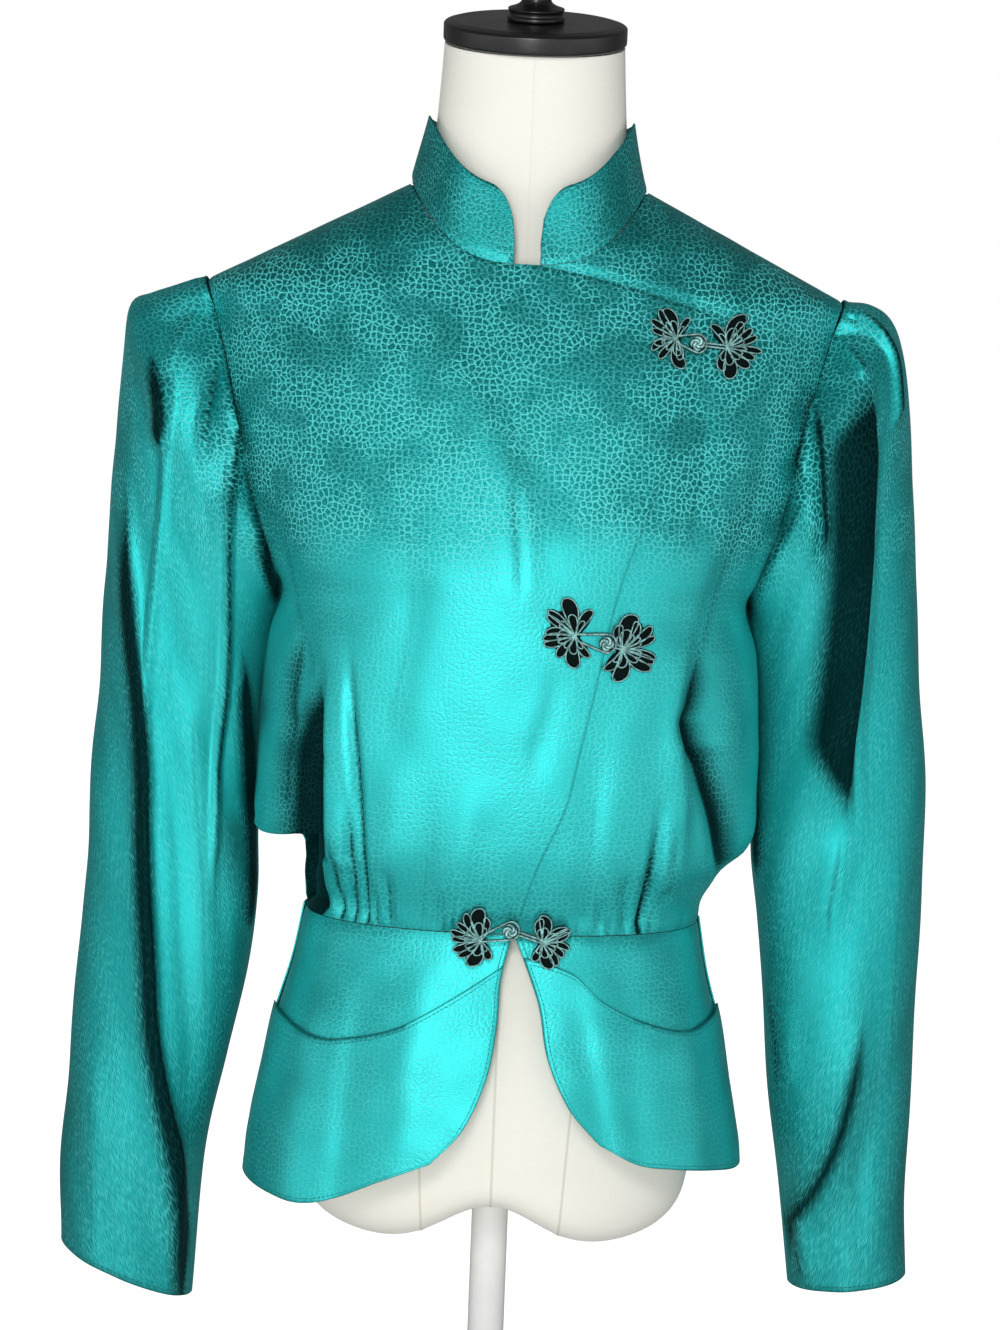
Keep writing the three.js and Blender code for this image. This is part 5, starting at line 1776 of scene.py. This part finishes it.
class BLOUSE_OT_frogs(MakerOperator, bpy.types.Operator):
    """Makes the three corded frogs"""

    bl_idname = "blouse.frogs"
    bl_label = "Frogs"

    def execute(self, context):
        sizes = sizes_of(context)
        colours = colours_of(context)
        cord = shared("satin_cord", lambda: corded("satin_cord", colours))
        for i in range(len(FROGS["knot_x"])):
            frog = {name: float(values[i]) for name, values in FROGS.items()}
            node = f"frog_{i + 1}"
            pieces = {
                "loop_side": frog_half(
                    f"{node}_loop_petals", frog["loop_x"], frog["loop_z"], frog["loop_w"],
                    frog["loop_h"], -1, 60 + i, sizes,
                ),
                "knot_side": frog_half(
                    f"{node}_knot_petals", frog["side_x"], frog["side_z"], frog["side_w"],
                    frog["side_h"], 1, 70 + i, sizes,
                ),
                "knot": frog_knot(
                    f"{node}_ball", frog["knot_x"], frog["knot_z"],
                    frog["side_x"] - 0.2 * frog["side_w"], frog["side_z"], sizes,
                ),
                "loop": frog_loop(
                    f"{node}_cord_loop", frog["knot_x"], frog["knot_z"],
                    frog["loop_x"] + 0.2 * frog["loop_w"], frog["loop_z"], sizes,
                ),
            }
            for part, piece in pieces.items():
                dress(piece, cord, "cord", f"{node}_{part}")
        return {"FINISHED"}


class BLOUSE_OT_form(MakerOperator, bpy.types.Operator):
    """Makes the covered dress form"""

    bl_idname = "blouse.form"
    bl_label = "Dress form"

    def execute(self, context):
        colours = colours_of(context)
        cover = shared("cover_linen", lambda: linen("cover_linen", colours))
        dress(form_body(), cover, "linen", "form_body")
        return {"FINISHED"}


class BLOUSE_OT_stand(MakerOperator, bpy.types.Operator):
    """Makes the neck cap, the finial, the pole and the foot"""

    bl_idname = "blouse.stand"
    bl_label = "Cap and stand"

    def execute(self, context):
        colours = colours_of(context)
        black = shared("black_satin", lambda: painted("black_satin", colours.black, colours.black_worn, 0.28))
        pale = shared("pale_satin", lambda: painted("pale_satin", colours.pale, colours.pale_worn, 0.42))
        radius, height = NECK_CAP["radius"], NECK_CAP["height"]
        place = neck_place()
        cap = turned("neck_disc", [
            [2, 0], [radius - 1.5, 0], [radius, 1.5], [radius, height - 2.5], [radius - 1.2, height - 1.4],
            [radius - 4, height - 0.6], [radius - 6, height - 0.1], [2, height],
        ], 1.2, 192, place)
        dress(cap, black, "black_paint", "neck_cap")
        above = place @ Matrix.Translation((0, 0, height + 0.4))
        knob = turned("neck_finial", [
            [2, 0], [17, 0], [17, 2.4], [15.8, 3.2], [15.8, 5], [17, 7], [12, 8.6], [9, 10.5], [8, 14],
            [8.4, 17], [11, 20], [14.4, 23], [17, 29], [16.4, 34], [13, 38.5], [7, 41.4], [1, 42],
        ], 2.2, 96, above)
        dress(knob, black, "black_paint", "finial")
        low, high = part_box("pole")
        pole = turned("stand_pole", [
            [2, low.z / MM], [POLE_RADIUS, low.z / MM], [POLE_RADIUS, high.z / MM], [2, high.z / MM],
        ], 0.8, 96)
        dress(pole, pale, "pale_paint", "pole")
        foot = turned("stand_foot", [
            [1, 0], [BASE_RADIUS, 0], [BASE_RADIUS, 5.5], [BASE_RADIUS - 3, 8], [BASE_RADIUS - 14, 11],
            [POLE_RADIUS + 9, BASE_HEIGHT - 1], [POLE_RADIUS + 5, BASE_HEIGHT], [1, BASE_HEIGHT],
        ], 2.0, 192)
        dress(foot, pale, "pale_paint", "base")
        return {"FINISHED"}


# ---------- Stage ----------

CAMERA_PLACE = (-6.6, -1992.4, 640.3)  # mm
CAMERA_DROP = 5.0  # degrees below the horizon
CAMERA_ROLL = 2.2  # degrees
CAMERA_LENS = 90.2  # mm, for the sensor's width below
CAMERA_SENSOR = 36  # mm
CAMERA_REACH = 60  # metres
FLOOR_HALF = 12.0  # metres
LAMPS = [  # name, kind, place in metres, aimed at, size, watts
    ("key", "AREA", (-0.3, -2.4, 0.4), (0, 0, 0.5), 0.9, 9),
    ("beam", "SPOT", (-0.3, -2.3, 0.5), (-0.1, 0, 0.35), 0.45, 56),
    ("fill", "AREA", (-0.2, -1.9, 1.2), (0, 0, 0.68), 0.5, 11),
]
BEAM_ANGLE = 18.0  # degrees across the beam's cone
ROOM_FRONT = (-0.5, 0.55)  # how squarely the light comes from the front, where it starts and is full
ROOM_TOP = (-0.12, 0.2)  # sine of the height where the pale lower room ends and the dark above begins
ROOM_FOOT = (-0.36, 0.02)  # and where it darkens again below
ROOM_LIGHT = (0.16, 1.85)  # light from all round, and what the pale room in front adds


class BLOUSE_OT_stage(MakerOperator, bpy.types.Operator):
    """Makes the camera, the lamps and the pale floor"""

    bl_idname = "blouse.stage"
    bl_label = "Stage"

    def execute(self, context):
        scene = context.scene
        camera = bpy.data.objects.new("camera", bpy.data.cameras.new("camera"))
        scene.collection.objects.link(camera)
        camera.data.lens = CAMERA_LENS
        camera.data.sensor_width = CAMERA_SENSOR
        camera.data.clip_end = CAMERA_REACH
        camera.matrix_world = (
            Matrix.Translation(Vector(CAMERA_PLACE) * MM)
            @ Matrix.Rotation(math.radians(90 - CAMERA_DROP), 4, "X")
            @ Matrix.Rotation(math.radians(CAMERA_ROLL), 4, "Z")
        )
        scene.camera = camera
        scene.view_settings.view_transform = "Standard"
        for name, kind, place, aim, size, watts in LAMPS:
            data = bpy.data.lights.new(name, kind)
            data.energy = watts
            if kind == "SPOT":
                data.spot_size = math.radians(BEAM_ANGLE)
                data.spot_blend = 1.0
                data.shadow_soft_size = size
            else:
                data.shape = "DISK"
                data.size = size
            lamp = bpy.data.objects.new(name, data)
            scene.collection.objects.link(lamp)
            toward = Vector(aim) - Vector(place)
            aimed = toward.to_track_quat("-Z", "Y").to_matrix().to_4x4()
            lamp.matrix_world = Matrix.Translation(place) @ aimed
        self.light_room(scene)
        self.lay_floor(scene)
        return {"FINISHED"}

    def light_room(self, scene):
        """A pale backdrop for the camera, and round the cloth a room that is brightest in front."""
        world = bpy.data.worlds.new("room")
        world.use_nodes = True
        scene.world = world
        graph = Graph(world.node_tree)
        way = graph.node("ShaderNodeTexCoord", None, None, "Generated")
        _, depth, height = graph.split(way)
        ahead = (-1 * depth).between(*ROOM_FRONT)
        above = height.between(*ROOM_TOP)
        below = height.between(*ROOM_FOOT)
        glow = ROOM_LIGHT[0] + ahead * (1 - above) * (0.25 + 0.75 * below) * ROOM_LIGHT[1]
        seen = graph.node("ShaderNodeLightPath", None, None, "Is Camera Ray")
        graph.fill(world.node_tree.nodes["Background"].inputs["Color"], (1, 1, 1))
        graph.fill(
            world.node_tree.nodes["Background"].inputs["Strength"], graph.math("MAXIMUM", glow, seen)
        )

    def lay_floor(self, scene):
        """A flat pale floor, larger than the camera sees."""
        mesh = bpy.data.meshes.new("floor")
        corners = [(x * FLOOR_HALF, y * FLOOR_HALF, 0) for x, y in ((-1, -1), (1, -1), (1, 1), (-1, 1))]
        mesh.from_pydata(corners, [], [(0, 1, 2, 3)])
        floor = bpy.data.objects.new("floor", mesh)
        scene.collection.objects.link(floor)
        graph = Coat("floor", specular_ior_level=0.1, emission_strength=1.0)
        place = graph.node("ShaderNodeTexCoord", None, None, "Object")
        cloud = graph.noise(place, 1.5, 2).between(0.3, 0.7)
        pale = graph.blend(cloud, (0.93, 0.93, 0.93), (0.95, 0.95, 0.95))
        graph.finish(base_color=pale, roughness=0.85 + cloud * 0.05, emission_color=(1, 1, 1))
        mesh.materials.append(graph.material)
        floor.visible_glossy = False
        floor.visible_diffuse = False


class BLOUSE_PT_maker(bpy.types.Panel):
    """Lists the pieces in the order they are made"""

    bl_label = "Blouse"
    bl_idname = "BLOUSE_PT_maker"
    bl_space_type = "VIEW_3D"
    bl_region_type = "UI"
    bl_category = "Blouse"

    def draw(self, context):
        layout = self.layout
        for group in (sizes_of(context), colours_of(context)):
            box = layout.box()
            for name in group.__annotations__:
                box.prop(group, name)
        for operator in OPERATORS:
            layout.operator(operator.bl_idname)


OPERATORS = (
    BLOUSE_OT_stage,
    BLOUSE_OT_form,
    BLOUSE_OT_stand,
    BLOUSE_OT_bodice,
    BLOUSE_OT_collar,
    BLOUSE_OT_sleeves,
    BLOUSE_OT_peplum,
    BLOUSE_OT_frogs,
)
CLASSES = (BlouseSizes, BlouseColours, *OPERATORS, BLOUSE_PT_maker)


def register():
    for cls in CLASSES:
        bpy.utils.register_class(cls)
    bpy.types.Scene.blouse_sizes = PointerProperty(type=BlouseSizes)
    bpy.types.Scene.blouse_colours = PointerProperty(type=BlouseColours)


def unregister():
    del bpy.types.Scene.blouse_colours
    del bpy.types.Scene.blouse_sizes
    for cls in reversed(CLASSES):
        bpy.utils.unregister_class(cls)


def main():
    """Makes every piece in order."""
    register()
    bpy.ops.blouse.stage()
    bpy.ops.blouse.form()
    bpy.ops.blouse.stand()
    bpy.ops.blouse.bodice()
    bpy.ops.blouse.collar()
    bpy.ops.blouse.sleeves()
    bpy.ops.blouse.peplum()
    bpy.ops.blouse.frogs()


if __name__ == "__main__":
    main()
